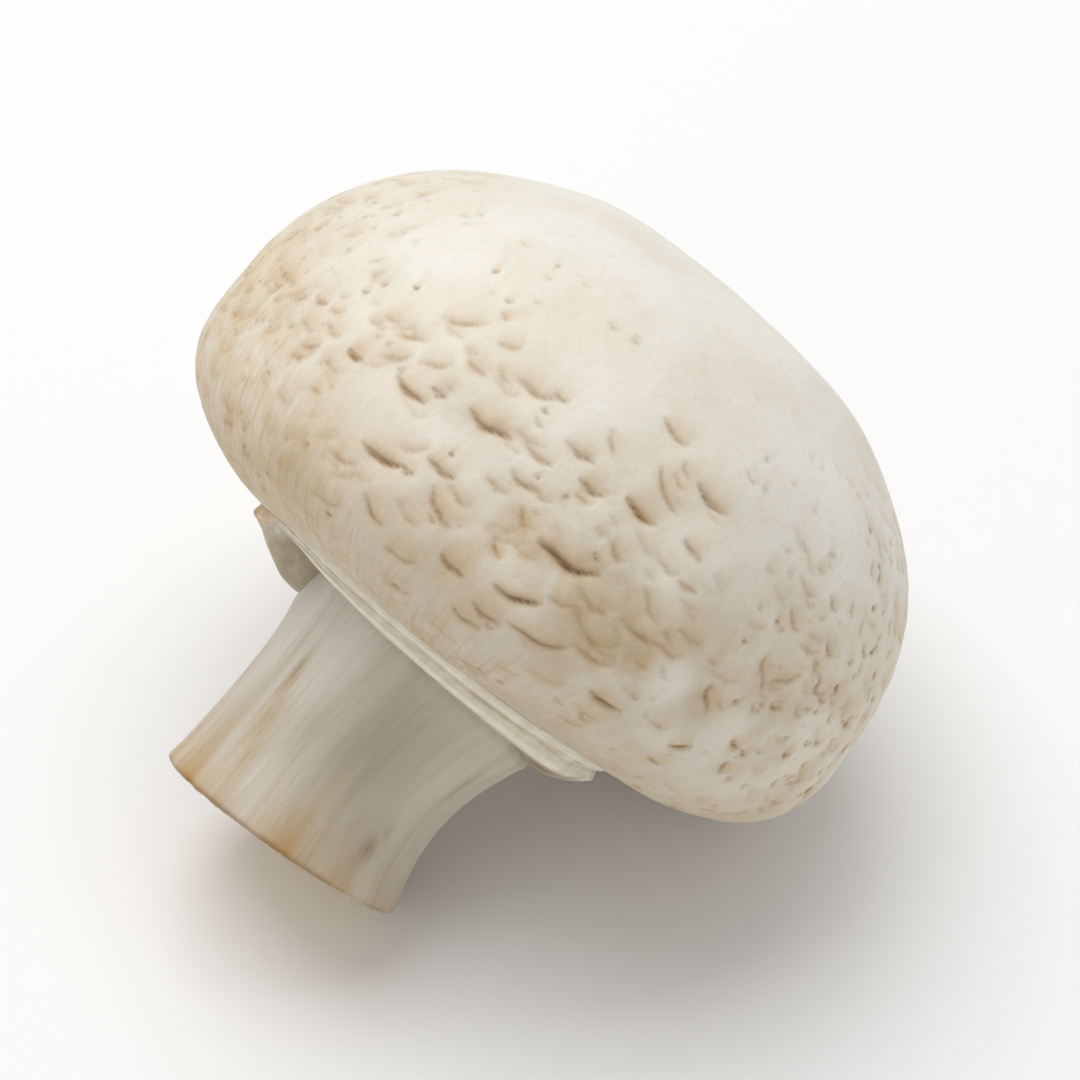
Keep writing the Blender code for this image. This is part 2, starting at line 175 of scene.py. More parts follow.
# The same without a height for the stain along the cut: degrees, spread and strength
CUT_STAINS = [(-48, 20, 1.0), (-80, 14, 0.7), (4, 13, 0.9), (34, 10, 0.5), (90, 30, 0.5), (160, 60, 0.6)]

DOME_EXPONENT = 2.25
CHEEK_EXPONENT = 2.45
MARGIN = (14.0 * MM, 0.8 * MM)
MARGIN_FADE = 3.0 * MM
UNDER_CAP = [(13.35 * MM, 1.45 * MM), (12.30 * MM, 2.30 * MM)]

STEM_TOP = -2.75 * MM
STEM_ROOT = 0.6 * MM
WAIST_HEIGHT = -9.2 * MM
END_ROUNDING = 0.35 * MM
CUT_RISE = 0.4 * MM
CUT_AZIMUTH = math.radians(-58)
PITH_RADIUS = 2.6 * MM
PITH_DEPTH = 0.35 * MM
STEM_RIBS = 9
FINE_RIB_SHARE = 0.5
STEM_RIB_HEIGHT = 0.06 * MM
RIB_FADE = 2.0 * MM
STEM_BEND = 0.50 * MM
STEM_LEAN = 0.55 * MM
LEAN_AZIMUTH = math.radians(122)

# How much slimmer the whole is toward its left end
LEFT_SLIMMER = 0.014

# Main scales on the side that faces up: degrees round from the face, millimetres from the top,
# half width in millimetres, skew in degrees, and how deep and dark the crack is
MAIN_SCALES = [
    (-60.0, 31.2, 0.7, 5, 0.40),
    (-51.0, 30.8, 0.8, -5, 0.75),
    (-45.5, 33.2, 0.9, -28, 0.50),
    (-39.0, 35.0, 0.6, 0, 0.35),
    (-37.5, 31.9, 0.8, 0, 0.95),
    (-37.5, 28.7, 0.8, -20, 0.40),
    (-33.0, 28.8, 1.1, -25, 0.45),
    (-28.5, 25.9, 1.6, -33, 0.50),
    (-26.3, 31.2, 1.6, 4, 0.85),
    (-23.0, 35.3, 1.7, -8, 0.95),
    (-21.0, 27.7, 0.9, 5, 0.55),
    (-20.0, 25.3, 0.9, -30, 0.40),
    (-19.5, 38.3, 1.3, 30, 0.65),
    (-14.8, 33.7, 1.2, 0, 0.90),
    (-13.5, 29.8, 1.7, -6, 0.90),
    (-12.5, 39.6, 1.3, -10, 0.50),
    (-12.0, 26.3, 1.6, -8, 0.55),
    (-11.8, 35.6, 1.4, 35, 0.65),
    (-5.2, 38.0, 1.1, 8, 1.00),
    (-5.0, 29.4, 1.2, 0, 0.60),
    (-4.3, 31.2, 1.3, 0, 0.65),
    (-1.5, 35.4, 0.8, 40, 0.60),
    (-1.0, 33.0, 0.9, 45, 0.60),
    (0.0, 27.7, 1.0, 0, 0.65),
    (1.2, 40.2, 1.2, 0, 0.75),
    (2.5, 26.0, 1.0, 50, 0.45),
    (3.2, 39.0, 1.2, 0, 0.75),
    (4.0, 29.0, 1.1, 0, 0.85),
    (4.8, 36.8, 1.7, -18, 1.00),
    (7.5, 33.2, 2.3, -5, 1.00),
    (9.8, 22.9, 1.2, 15, 0.60),
    (11.0, 38.0, 2.2, -12, 0.65),
    (12.0, 28.3, 1.4, 8, 0.90),
    (12.5, 31.2, 0.9, 45, 0.50),
    (14.0, 26.3, 1.7, 35, 0.55),
    (14.5, 24.6, 0.7, 45, 0.45),
    (19.0, 37.0, 1.6, -5, 0.55),
    (20.5, 25.0, 1.5, 12, 0.80),
    (21.5, 28.3, 0.9, 15, 0.55),
    (23.0, 34.0, 2.0, -5, 0.50),
    (24.0, 30.3, 0.9, 0, 0.55),
    (25.5, 38.9, 1.5, 3, 1.00),
    (29.0, 32.6, 1.2, 0, 0.40),
    (38.5, 35.0, 1.1, 48, 0.75),
    (41.0, 38.6, 0.9, -35, 0.95),
    (41.5, 40.8, 0.7, 10, 0.65),
    (43.5, 31.6, 1.1, 55, 0.65),
    (44.5, 28.2, 1.0, 40, 0.55),
    (48.0, 31.4, 1.3, -35, 0.60),
    (48.5, 36.5, 0.7, 20, 0.95),
    (50.0, 33.2, 0.7, 0, 0.85),
    (51.0, 38.2, 0.6, 60, 0.85),
    (54.0, 28.6, 0.7, 40, 0.65),
    (58.5, 31.4, 0.6, 0, 0.75),
]
SURVEYED = math.radians(64)

# The other scales stand in staggered rows
SCALE_SEED = 41
SCALE_BAND = (16.0 * MM, 43.0 * MM)
SCALE_TOP = 24.0 * MM
ROW_PITCH = 2.5 * MM
SCALE_PITCH = 3.6 * MM
ROW_JITTER = 0.30
PLACE_JITTER = 0.32
SCALE_HALF_WIDTH = (0.6 * MM, 1.8 * MM)
SCALE_STRENGTH = (0.40, 0.95)
END_STRENGTH = 0.30
SKEW_REACH = 0.42
SKEW_JITTER = 0.35
FACE_AZIMUTH = math.radians(-148)

SCALE_BOW = 0.24
# The tan above each crack is tan skin with painted shade on the slope down into it
TAN_SHADE_TAIL = 0.95 * MM
SCALE_LIP = 0.46
LIP_TAIL = 1.20 * MM
SLOPE_TAIL = 0.34 * MM
WALL_TAIL = 0.24 * MM
STEP_SHARE = 0.18
STEP_TAIL = 1.1 * MM

SWELL_SEED = 5
SWELL_WAVES = 9
SWELL_LENGTH = (9.0 * MM, 17.0 * MM)
SWELL_HEIGHT = 0.045 * MM

SOFT_SCALES = 420
SOFT_SCALE_SEED = 77
SMALL_CRACK_SEED = 12
MARGIN_LINES = 300
MARGIN_LINE_SEED = 23

# Columns round each piece, and round the coarser body that finds how the mushroom lies
CAP_SEGMENTS = 540
VEIL_SEGMENTS = 480
STEM_SEGMENTS = 420
TRIAL_SEGMENTS = 336
TRIAL_ROW = 0.45 * MM
VEIL_ROW = 0.11 * MM
STEM_ROW = 0.2 * MM
UNDER_ROW = 0.4 * MM

# Radius of the even cylinder on which a piece's fibres are drawn
CAP_FIBRE_RING = 24.0 * MM
VEIL_FIBRE_RING = 1.3 * MM
STRAND_SIDES = 5

# Where the camera aims, right of and above the middle of the mushroom's box
AIM = (1.65 * MM, -0.88 * MM)

SINK = 0.30 * MM
PRESSED_WIDTH = 7.0 * MM
PRESSED_HEIGHT = 6.0 * MM
PRESSED_FROM_MARGIN = 9.5 * MM


def screen(red, green, blue):
    """A colour's linear values from its 0 to 255 screen values."""
    values = np.array([red, green, blue]) / 255.0
    linear = np.where(values <= 0.04045, values / 12.92, ((values + 0.055) / 1.055) ** 2.4)
    return tuple(float(v) for v in linear)


def length_property(name, description, default):
    return FloatProperty(
        name=name, description=description, default=default, min=0.0, subtype="DISTANCE",
        unit="LENGTH", precision=5,
    )


def colour_property(name, description, default):
    return FloatVectorProperty(
        name=name, description=description, default=default, subtype="COLOR", size=3,
        min=0.0, max=1.0,
    )


class MushroomShape(bpy.types.PropertyGroup):
    """Main sizes of the mushroom."""

    cap_radius: length_property("Cap radius", "Half the cap's width", 24.0 * MM)
    cap_top: length_property("Cap top", "Height of the cap's top over its margin", 28.3 * MM)
    cap_widest: length_property("Cap widest", "Height of the widest plane over the margin", 9.5 * MM)
    neck_radius: length_property("Neck radius", "Half the stem's width under the veil", 8.9 * MM)
    waist_radius: length_property("Waist radius", "Half the stem's width at its waist", 7.8 * MM)
    end_radius: length_property("End radius", "Half the stem's width at its cut end", 8.6 * MM)
    stem_length: length_property("Stem length", "From the margin to the cut face", 15.6 * MM)


class SkinLook(bpy.types.PropertyGroup):
    """Relief and colours of the cap."""

    scale_depth: FloatProperty(
        name="Scale depth", description="Depth of a crack for each half width of its scale",
        default=0.27, min=0.0, max=1.0,
    )
    small_cracks: IntProperty(
        name="Small cracks", description="Number of fine cracks between the scales",
        default=1500, min=0, max=5000,
    )
    margin_strands: IntProperty(
        name="Margin strands", description="Number of strands that run round the margin",
        default=80, min=0, max=600,
    )
    margin_strand_width: length_property(
        "Margin strand width", "Mean width of a strand at the margin", 0.045 * MM
    )
    cream: colour_property("Cream", "Colour of the smooth top", screen(238, 235, 225))
    warm_cream: colour_property("Warm cream", "Colour of its warmer patches", screen(230, 223, 207))
    # Tan skin with painted shade on the slope above each crack, and brown with painted shade deep in it
    tan: colour_property("Tan", "Colour above the cracks", screen(200, 158, 92))
    crack: colour_property("Crack", "Colour deep in the cracks", screen(120, 84, 42))
    # The cheek colour is tan skin with painted shade where the cap turns under
    cheek: colour_property("Cheek", "Colour of the skin that turns under", screen(200, 184, 158))


class VeilLook(bpy.types.PropertyGroup):
    """Threads and colours of the veil."""

    strands: IntProperty(
        name="Strands", description="Number of strands that run round the veil", default=48,
        min=0, max=600,
    )
    strand_width: length_property("Strand width", "Mean width of a strand", 0.05 * MM)
    band: colour_property("Band", "Colour of the veil", screen(242, 236, 220))
    # The line colour is tan with painted shade in the folds
    line: colour_property("Line", "Colour in the folds of the veil", screen(174, 144, 100))


class StemLook(bpy.types.PropertyGroup):
    """Relief and colours of the stem."""

    fibre_depth: length_property("Fibre depth", "Depth between the stem's long fibres", 0.014 * MM)
    flesh: colour_property("Flesh", "Colour of the stem's side", screen(214, 206, 190))
    shade: colour_property("Shade", "Colour between its fibres", screen(184, 169, 143))
    stain: colour_property("Stain", "Colour of the stains near the cut", screen(186, 142, 66))
    rim: colour_property("Rim", "Colour of the dried edge of the cut", screen(130, 90, 34))
    face: colour_property("Face", "Colour of the cut face", screen(226, 206, 172))
    pith: colour_property("Pith", "Colour of the pith", screen(240, 231, 212))


class StageLook(bpy.types.PropertyGroup):
    """Floor, lights and camera."""

    floor_size: length_property("Floor size", "Side of the floor", 3.0)
    floor_colour: colour_property("Floor", "Colour of the floor", (0.93, 0.93, 0.93))
    key_power: FloatProperty(
        name="Key power", description="Power of the large light above", default=5.7, min=0.0,
        subtype="POWER", unit="POWER",
    )
    sky: FloatProperty(
        name="Sky", description="Strength of the even light around", default=0.48, min=0.0
    )
    view_width: length_property("View width", "Width that the camera sees", 66.4 * MM)
    view_distance: length_property("View distance", "From the camera to the mushroom", 0.6)
    view_azimuth: FloatProperty(
        name="View azimuth", description="Direction that the camera looks along, from +Y",
        default=math.radians(-39.9), subtype="ANGLE", unit="ROTATION",
    )
    view_elevation: FloatProperty(
        name="View elevation", description="Height of the camera above the horizon",
        default=math.radians(46.0), subtype="ANGLE", unit="ROTATION",
    )


# ---- Shape rules --------------------------------------------------------------------------------


def smooth_step(low, high, value):
    t = np.clip((value - low) / (high - low), 0.0, 1.0)
    return t * t * (3.0 - 2.0 * t)


def wrapped(angle):
    return (angle + math.pi) % (2.0 * math.pi) - math.pi


def bump_at(value, centre, width):
    return np.exp(-(((value - centre) / width) ** 2))


def lattice_noise(points, size, seed):
    """Smooth noise from -1 to 1 whose features are about one size across."""
    side = 32
    table = np.random.default_rng(seed).uniform(-1.0, 1.0, (side, side, side))
    place = points / size
    cell = np.floor(place).astype(int)
    part = place - cell
    part = part * part * (3.0 - 2.0 * part)
    total = np.zeros(points.shape[:-1])
    for corner in np.ndindex(2, 2, 2):
        weight = np.prod(np.where(corner, part, 1.0 - part), axis=-1)
        index = (cell + corner) % side
        total += weight * table[index[..., 0], index[..., 1], index[..., 2]]
    return total


def superellipse_arc(radius, height, exponent, count=60):
    """Points from the far end of the height to the far end of the radius."""
    turn = np.linspace(0.0, math.pi / 2.0, count)
    across = radius * np.sin(turn) ** (2.0 / exponent)
    up = height * np.cos(turn) ** (2.0 / exponent)
    up[-1] = 0.0
    return np.column_stack([across, up])


def spline(points, steps=10):
    """A Catmull-Rom curve through the points, its ends extended straight."""
    points = np.asarray(points, float)
    before, after = 2.0 * points[0] - points[1], 2.0 * points[-1] - points[-2]
    padded = np.concatenate([[before], points, [after]])
    curve = []
    for a, b, c, d in zip(padded, padded[1:], padded[2:], padded[3:]):
        for t in np.arange(steps) / steps:
            curve.append(
                0.5 * (2.0 * b + (c - a) * t + (2.0 * a - 5.0 * b + 4.0 * c - d) * t**2
                       + (3.0 * b - a - 3.0 * c + d) * t**3)
            )
    return np.array(curve + [points[-1]])


def walked(outline):
    """The distance walked along the outline to each of its points."""
    steps = np.hypot(*np.diff(outline, axis=0).T)
    return np.concatenate([[0.0], np.cumsum(steps)])


def read_at(outline, distances):
    """The outline's points at the given distances along it."""
    far = walked(outline)
    return np.column_stack([np.interp(distances, far, outline[:, i]) for i in (0, 1)])


def outward_of(outline):
    """The outward direction, as (radial, up), at each point of an outline run top to bottom."""
    along = np.gradient(outline, axis=0)
    outward = np.column_stack([-along[:, 1], along[:, 0]])
    return outward / np.linalg.norm(outward, axis=1)[:, None]


def facing(azimuth):
    """How far round an azimuth is from the side with the main scales, negative to its left."""
    return wrapped(azimuth - FACE_AZIMUTH)


def veil_draw(azimuth, radius, height):
    """How far out and up the veil is drawn from the turned collar."""
    side = facing(azimuth)
    front = smooth_step(*FRONT_LEFT, side) * smooth_step(*FRONT_RIGHT, side)
    lobe = bump_at(side, LOBE_CENTRE, LOBE_SPREAD)
    flap_spread = np.interp(height, FLAP_FOOT, (FLAP_FOOT_SPREAD, FLAP_SPREAD))
    flap = bump_at(side, FLAP_CENTRE, flap_spread)
    levels, *draws, slanted = np.array(VEIL_DRAWS).T
    front_out, front_up, lobe_out, lobe_up, flap_out, flap_up = (
        MM * np.interp(height / MM, levels, draw) for draw in draws
    )
    from_edge = np.hypot(radius - COLLAR_EDGE[0], height - COLLAR_EDGE[1])
    on_edge = bump_at(from_edge, 0.0, EDGE_THICKNESS)
    folds = np.sin(COLLAR_FOLDS * side) + FINE_FOLD_SHARE * np.sin(FINE_FOLDS * side)
    out = front * front_out + lobe * lobe_out + flap * flap_out
    up = front * front_up + lobe * lobe_up + flap * flap_up
    up = up - VEIL_SLANT * side * front * np.interp(height / MM, levels, slanted)
    return out + COLLAR_FOLD_HEIGHT * on_edge * folds, up


def marks(table, turned, height):
    """The strongest of a table's marks at every place of a grid."""
    shown = 0.0 * turned + 0.0 * height
    for centre, spread_round, level, spread_down, strength in table:
        across = bump_at(wrapped(turned - math.radians(centre)), 0.0, math.radians(spread_round))
        mark = strength * across * bump_at(height, level * MM, spread_down * MM)
        shown = np.maximum(shown, mark)
    return shown


def slimmer(azimuth):
    """What the distance from the axis is multiplied by."""
    return 1.0 - LEFT_SLIMMER * np.maximum(-np.sin(facing(azimuth)), 0.0) ** 2


def cap_outline(shape):
    """The skin's half outline, from the top of the cap to its margin."""
    dome = superellipse_arc(shape.cap_radius, shape.cap_top - shape.cap_widest, DOME_EXPONENT)
    dome = dome + (0.0, shape.cap_widest)
    below = superellipse_arc(
        shape.cap_radius - MARGIN[0], shape.cap_widest - MARGIN[1], CHEEK_EXPONENT
    )[::-1]
    cheek = np.column_stack([MARGIN[0] + below[:, 0], shape.cap_widest - below[:, 1]])
    return np.concatenate([dome, cheek[1:]])


def stem_outline(shape):
    """The stem's waisted side, from its root in the cap to the edge of the cut and its middle."""
    end = -shape.stem_length
    height = np.linspace(STEM_TOP, end + END_ROUNDING, 80)
    toward_neck = (height - WAIST_HEIGHT) / (STEM_TOP - WAIST_HEIGHT)
    toward_end = (height - WAIST_HEIGHT) / (end - WAIST_HEIGHT)
    radius = shape.waist_radius + np.where(
        height > WAIST_HEIGHT,
        (shape.neck_radius - shape.waist_radius) * toward_neck**2,
        (shape.end_radius - shape.waist_radius) * toward_end**2,
    )
    root = [(0.97 * shape.neck_radius, STEM_ROOT), (shape.neck_radius, STEM_TOP / 2.0)]
    turn = np.linspace(0.0, math.pi / 2.0, 8)[1:]
    edge = np.column_stack([
        radius[-1] - END_ROUNDING * (1.0 - np.cos(turn)),
        height[-1] - END_ROUNDING * np.sin(turn),
    ])
    across = np.linspace(edge[-1, 0], 0.0, 60)[1:]
    dish = PITH_DEPTH * np.exp(-((across / PITH_RADIUS) ** 4))
    face = np.column_stack([across, end + dish])
    return np.concatenate([root, np.column_stack([radius, height]), edge, face])


def swelling(points):
    """A slow rise and fall over the skin, from a few waves that run in drawn directions."""
    rng = np.random.default_rng(SWELL_SEED)
    total = np.zeros(points.shape[:-1])
    for _ in range(SWELL_WAVES):
        heading = rng.normal(size=3)
        heading /= np.linalg.norm(heading)
        length = rng.uniform(*SWELL_LENGTH)
        phase = rng.uniform(0.0, 2.0 * math.pi)
        total += np.sin(points @ heading * 2.0 * math.pi / length + phase)
    return SWELL_HEIGHT * total


def end_share(azimuth):
    """0 in the middle of the front and of the back, 1 at the two ends between them."""
    return smooth_step(0.60, 0.95, np.abs(np.sin(facing(azimuth))))


def lay_scales(outline):
    """Every large scale: its azimuth, distance from the top, half width, skew and strength."""
    scales = [
        (FACE_AZIMUTH + math.radians(turn), along * MM, half * MM, math.radians(skew), strength)
        for turn, along, half, skew, strength in MAIN_SCALES
    ]
    rng = np.random.default_rng(SCALE_SEED)
    far = walked(outline)
    for row, distance in enumerate(np.arange(*SCALE_BAND, ROW_PITCH)):
        radius = np.interp(distance, far, outline[:, 0])
        count = round(2.0 * math.pi * radius / SCALE_PITCH)
        for place in range(count):
            shift, slide, size, twist, depth = rng.uniform(-1.0, 1.0, 5)
            step = place + 0.5 * (row % 2) + PLACE_JITTER * shift
            azimuth = step * 2.0 * math.pi / count
            if abs(facing(azimuth)) < SURVEYED:
                continue
            along = distance + ROW_JITTER * ROW_PITCH * slide
            half = np.interp(size, (-1.0, 1.0), SCALE_HALF_WIDTH)
            skew = SKEW_REACH * math.sin(facing(azimuth)) + SKEW_JITTER * twist
            strength = np.interp(depth, (-1.0, 1.0), SCALE_STRENGTH)
            strength *= 1.0 - (1.0 - END_STRENGTH) * end_share(azimuth)
            strength *= smooth_step(SCALE_BAND[0], SCALE_TOP, along)
            scales.append((azimuth, along, half, skew, strength))
    return scales


def crack_profile(past):
    """Height across a crack for each unit of depth: a lip, a slope down into it and a wall."""
    lip = SCALE_LIP * np.exp(np.minimum(past, 0.0) / LIP_TAIL)
    slope = (1.0 + SCALE_LIP) * np.exp(np.minimum(past, 0.0) / SLOPE_TAIL)
    wall = (1.0 - STEP_SHARE) * np.exp(-np.maximum(past, 0.0) / WALL_TAIL)
    step = STEP_SHARE * np.exp(-np.maximum(past, 0.0) / STEP_TAIL)
    return np.where(past < 0.0, lip - slope, -wall - step)


class SkinMap:
    """A grid over the cap, rows down and columns round, with its height and its colour masks."""

    def __init__(self, outline, distances, azimuths):
        self.distance = distances
        self.profile = read_at(outline, distances)
        self.azimuth = azimuths
        size = (len(distances), len(azimuths))
        self.height = np.zeros(size)
        self.tan_and_slope_shade = np.zeros(size)
        self.crack = np.zeros(size)

    def window(self, centre, along, reach):
        """The grid's indices near a place, with their distances across and down from it."""
        rows = np.arange(*np.searchsorted(self.distance, (along - reach, along + reach)))
        radius = max(np.interp(along, self.distance, self.profile[:, 0]), MM)
        apart = wrapped(self.azimuth - centre)
        columns = np.nonzero(np.abs(apart) * radius < reach)[0]
        across = apart[columns] * self.profile[rows, 0][:, None]
        down = np.broadcast_to((self.distance[rows] - along)[:, None], across.shape)
        return np.ix_(rows, columns), across, down

    def press_crescent(self, centre, along, half, skew, depth, bow=SCALE_BOW, wave=0.0,
                       dark=1.0, warm=1.0):
        """Presses one crack in below its scale, and marks its tan with painted shade on the slope above
        it, and its dark line with painted shade deep in it.
        """
        place, across, down = self.window(centre, along, half + 3.0 * MM)
        u = (across * math.cos(skew) + down * math.sin(skew)) / half
        v = down * math.cos(skew) - across * math.sin(skew)
        inside = np.clip(1.0 - u**2, 0.0, 1.0)
        past = v - bow * half * inside - wave * half * np.sin(5.0 * u + 9.0 * wave)
        taper = inside**0.9 * (0.85 + 0.15 * u)
        self.height[place] += depth * taper * crack_profile(past)
        above, below = np.minimum(past, 0.0), np.maximum(past, 0.0)
        # Tan skin and painted shade on the slope above the crack, fading fast below it
        tan = inside**0.6 * warm * np.exp(above / TAN_SHADE_TAIL - below / (0.30 * MM))
        self.tan_and_slope_shade[place] = np.maximum(self.tan_and_slope_shade[place], tan)
        # The dark line is brown with painted shade deep in the crack
        width = 0.115 * MM + 0.055 * half * inside * dark
        line = inside**0.6 * dark * bump_at(past, 0.02 * MM - 0.4 * width, width)
        self.crack[place] = np.maximum(self.crack[place], line)


# ---- Cap ----------------------------------------------------------------------------------------


def pressed(azimuth, distance, radius, margin_distance):
    """0 where the cap's cheek lies on the ground, rising to 1 away from it."""
    across = wrapped(azimuth) * radius / PRESSED_WIDTH
    down = (distance - margin_distance + PRESSED_FROM_MARGIN) / PRESSED_HEIGHT
    return smooth_step(0.5, 1.2, np.hypot(across, down))


def upright(profile, azimuth):
    """Points of a surface turned from (radius, height) rows over the azimuth columns."""
    radius, height = profile[:, 0][:, None], profile[:, 1][:, None]
    return np.stack(
        [radius * np.cos(azimuth), radius * np.sin(azimuth), height + 0.0 * azimuth], axis=-1
    )


def on_cylinder(radius, azimuth, height):
    """Places on an even cylinder, whose noise isn't pulled about by a changing width."""
    return upright(np.column_stack([np.full(len(height), radius), height]), azimuth)


def upright_shift(out, up, azimuth):
    """Shifts out from the axis and up, as vectors over the azimuth columns."""
    return np.stack([out * np.cos(azimuth), out * np.sin(azimuth), up + 0.0 * azimuth], axis=-1)


def press_scales(skin, outline, depth):
    """The large scales, each with a slight wave in its crack."""
    for centre, along, half, skew, strength in lay_scales(outline):
        wave = 0.05 * math.sin(37.0 * centre + 900.0 * along)
        skin.press_crescent(
            centre, along, half, skew, depth * half * strength, wave=wave, dark=strength**1.3,
            warm=0.35 + 0.65 * strength,
        )


def press_soft_scales(skin):
    """Shallow scales between the large ones, tan but without a dark crack."""
    rng = np.random.default_rng(SOFT_SCALE_SEED)
    for _ in range(SOFT_SCALES):
        azimuth = rng.uniform(0.0, 2.0 * math.pi)
        along = rng.triangular(20.0, 33.0, 43.0) * MM
        size, twist, deep = rng.uniform(0.0, 1.0, 3)
        if rng.uniform() < 0.6 * end_share(azimuth):
            continue
        half = (0.5 + 1.0 * size) * MM
        skew = SKEW_REACH * math.sin(facing(azimuth)) + 1.1 * (twist - 0.5)
        skin.press_crescent(
            azimuth, along, half, skew, (0.06 + 0.10 * deep) * MM, wave=0.05,
            dark=0.10 + 0.25 * deep**2, warm=0.30 + 0.35 * deep,
        )


def press_small_cracks(skin, count):
    """Fine cracks and pits: short and close at the two ends, few and thin between."""
    rng = np.random.default_rng(SMALL_CRACK_SEED)
    for _ in range(count):
        azimuth = rng.uniform(0.0, 2.0 * math.pi)
        along = rng.uniform(15.0, 45.0) * MM
        end = float(end_share(azimuth))
        keep, size, deep, bend, turn = rng.uniform(0.0, 1.0, 5)
        if keep > 0.30 + 0.70 * end:
            continue
        left = math.sin(facing(azimuth)) < 0.0
        low, high = ((0.25, 0.75), (0.25, 0.60) if left else (0.25, 0.85))[end > 0.5]
        half = (low + (high - low) * size**2) * MM
        dark = (0.22 + 0.55 * deep**2) * smooth_step(14.0 * MM, 23.0 * MM, along)
        dark *= 1.0 - 0.45 * end if left else 1.0 + 0.35 * end
        skew = 0.5 * math.sin(facing(azimuth)) + (turn - 0.5) * (0.8 + 1.6 * end)
        skin.press_crescent(
            azimuth, along, half, skew, 0.22 * MM * dark, 0.4 * bend, 0.10, dark, 0.8 * dark
        )


def press_margin_lines(skin, margin_distance):
    """Thin broken lines that run round the skin close to the veil."""
    rng = np.random.default_rng(MARGIN_LINE_SEED)
    for _ in range(MARGIN_LINES):
        azimuth = rng.uniform(0.0, 2.0 * math.pi)
        along = margin_distance - rng.uniform(0.5, 8.0) * MM
        half = rng.uniform(0.5, 1.5) * MM
        dark = rng.uniform(0.10, 0.35)
        skin.press_crescent(
            azimuth, along, half, 0.15 * rng.normal(), 0.30 * MM * dark, 0.10, 0.08,
            0.5 * dark, 0.15 + 0.8 * dark,
        )


def cap_grid(shape, look, distances, azimuths, fine=True):
    """The cap's skin: its grid of points and the maps that its colours come from."""
    outline = cap_outline(shape)
    margin_distance = walked(outline)[-1]
    skin = SkinMap(outline, distances, azimuths)
    press_scales(skin, outline, look.scale_depth)
    points = upright(skin.profile, skin.azimuth)
    skin.height += swelling(points)
    if fine:
        press_soft_scales(skin)
        press_small_cracks(skin, look.small_cracks)
        press_margin_lines(skin, margin_distance)
        side, depth = facing(skin.azimuth)[None, :], distances[:, None]
        band = bump_at(depth, 33.0 * MM, 9.0 * MM)
        low_right = bump_at(side, 0.28, 0.55) * bump_at(depth, 36.5 * MM, 5.0 * MM)
        knuckles = lattice_noise(points, 2.7 * MM, 3)
        skin.height += (0.11 * band + 0.16 * low_right) * MM * knuckles
        skin.height += 0.03 * MM * lattice_noise(points, 1.1 * MM, 4) * (0.3 + 0.7 * band)
        # Painted shade, with tan, in the dips between the knuckles, most in the middle and low on the
        # right, and in the tan patches
        middle = bump_at(depth, 33.0 * MM, 6.5 * MM) * (1.0 - end_share(side))
        skin.hollow = np.clip(0.45 - knuckles, 0.0, 1.0) * (0.55 * middle + 0.65 * low_right)
        uneven = side + 0.05 * lattice_noise(points, 2.2 * MM, 6)
        skin.hollow = np.maximum(skin.hollow, 1.3 * marks(TAN_PATCHES, uneven, depth))
    fade = 1.0 - smooth_step(margin_distance - MARGIN_FADE, margin_distance, distances)
    away = pressed(
        skin.azimuth[None, :], distances[:, None], skin.profile[:, 0][:, None], margin_distance
    )
    skin.height *= fade[:, None] * away
    outward = outward_of(skin.profile)
    points += upright(outward, skin.azimuth) * skin.height[..., None]
    points[..., :2] *= slimmer(skin.azimuth)[:, None]
    return points, skin, margin_distance


def cap_distances(shape):
    """Rows closer together where the scales are."""
    margin_distance = walked(cap_outline(shape))[-1]
    places = (0.0, 13.0 * MM, 20.0 * MM, 43.0 * MM, margin_distance)
    rows = [0.5 * MM]
    while rows[-1] < margin_distance:
        gap = np.interp(rows[-1], places, (0.62, 0.50, 0.215, 0.215, 0.36))
        rows.append(rows[-1] + gap * MM)
    return np.append(rows[:-1], margin_distance)


def even_azimuths(count):
    return np.arange(count) * 2.0 * math.pi / count


def face_azimuths(count):
    """Columns closer together on the side that faces up."""
    turn = np.linspace(-math.pi, math.pi, 2001)
    density = 1.0 + 0.7 * smooth_step(1.75, 1.30, np.abs(turn))
    share = np.concatenate([[0.0], np.cumsum((density[1:] + density[:-1]) / 2.0)])
    return FACE_AZIMUTH + np.interp(np.arange(count) / count, share / share[-1], turn)


# ---- Stem ---------------------------------------------------------------------------------------


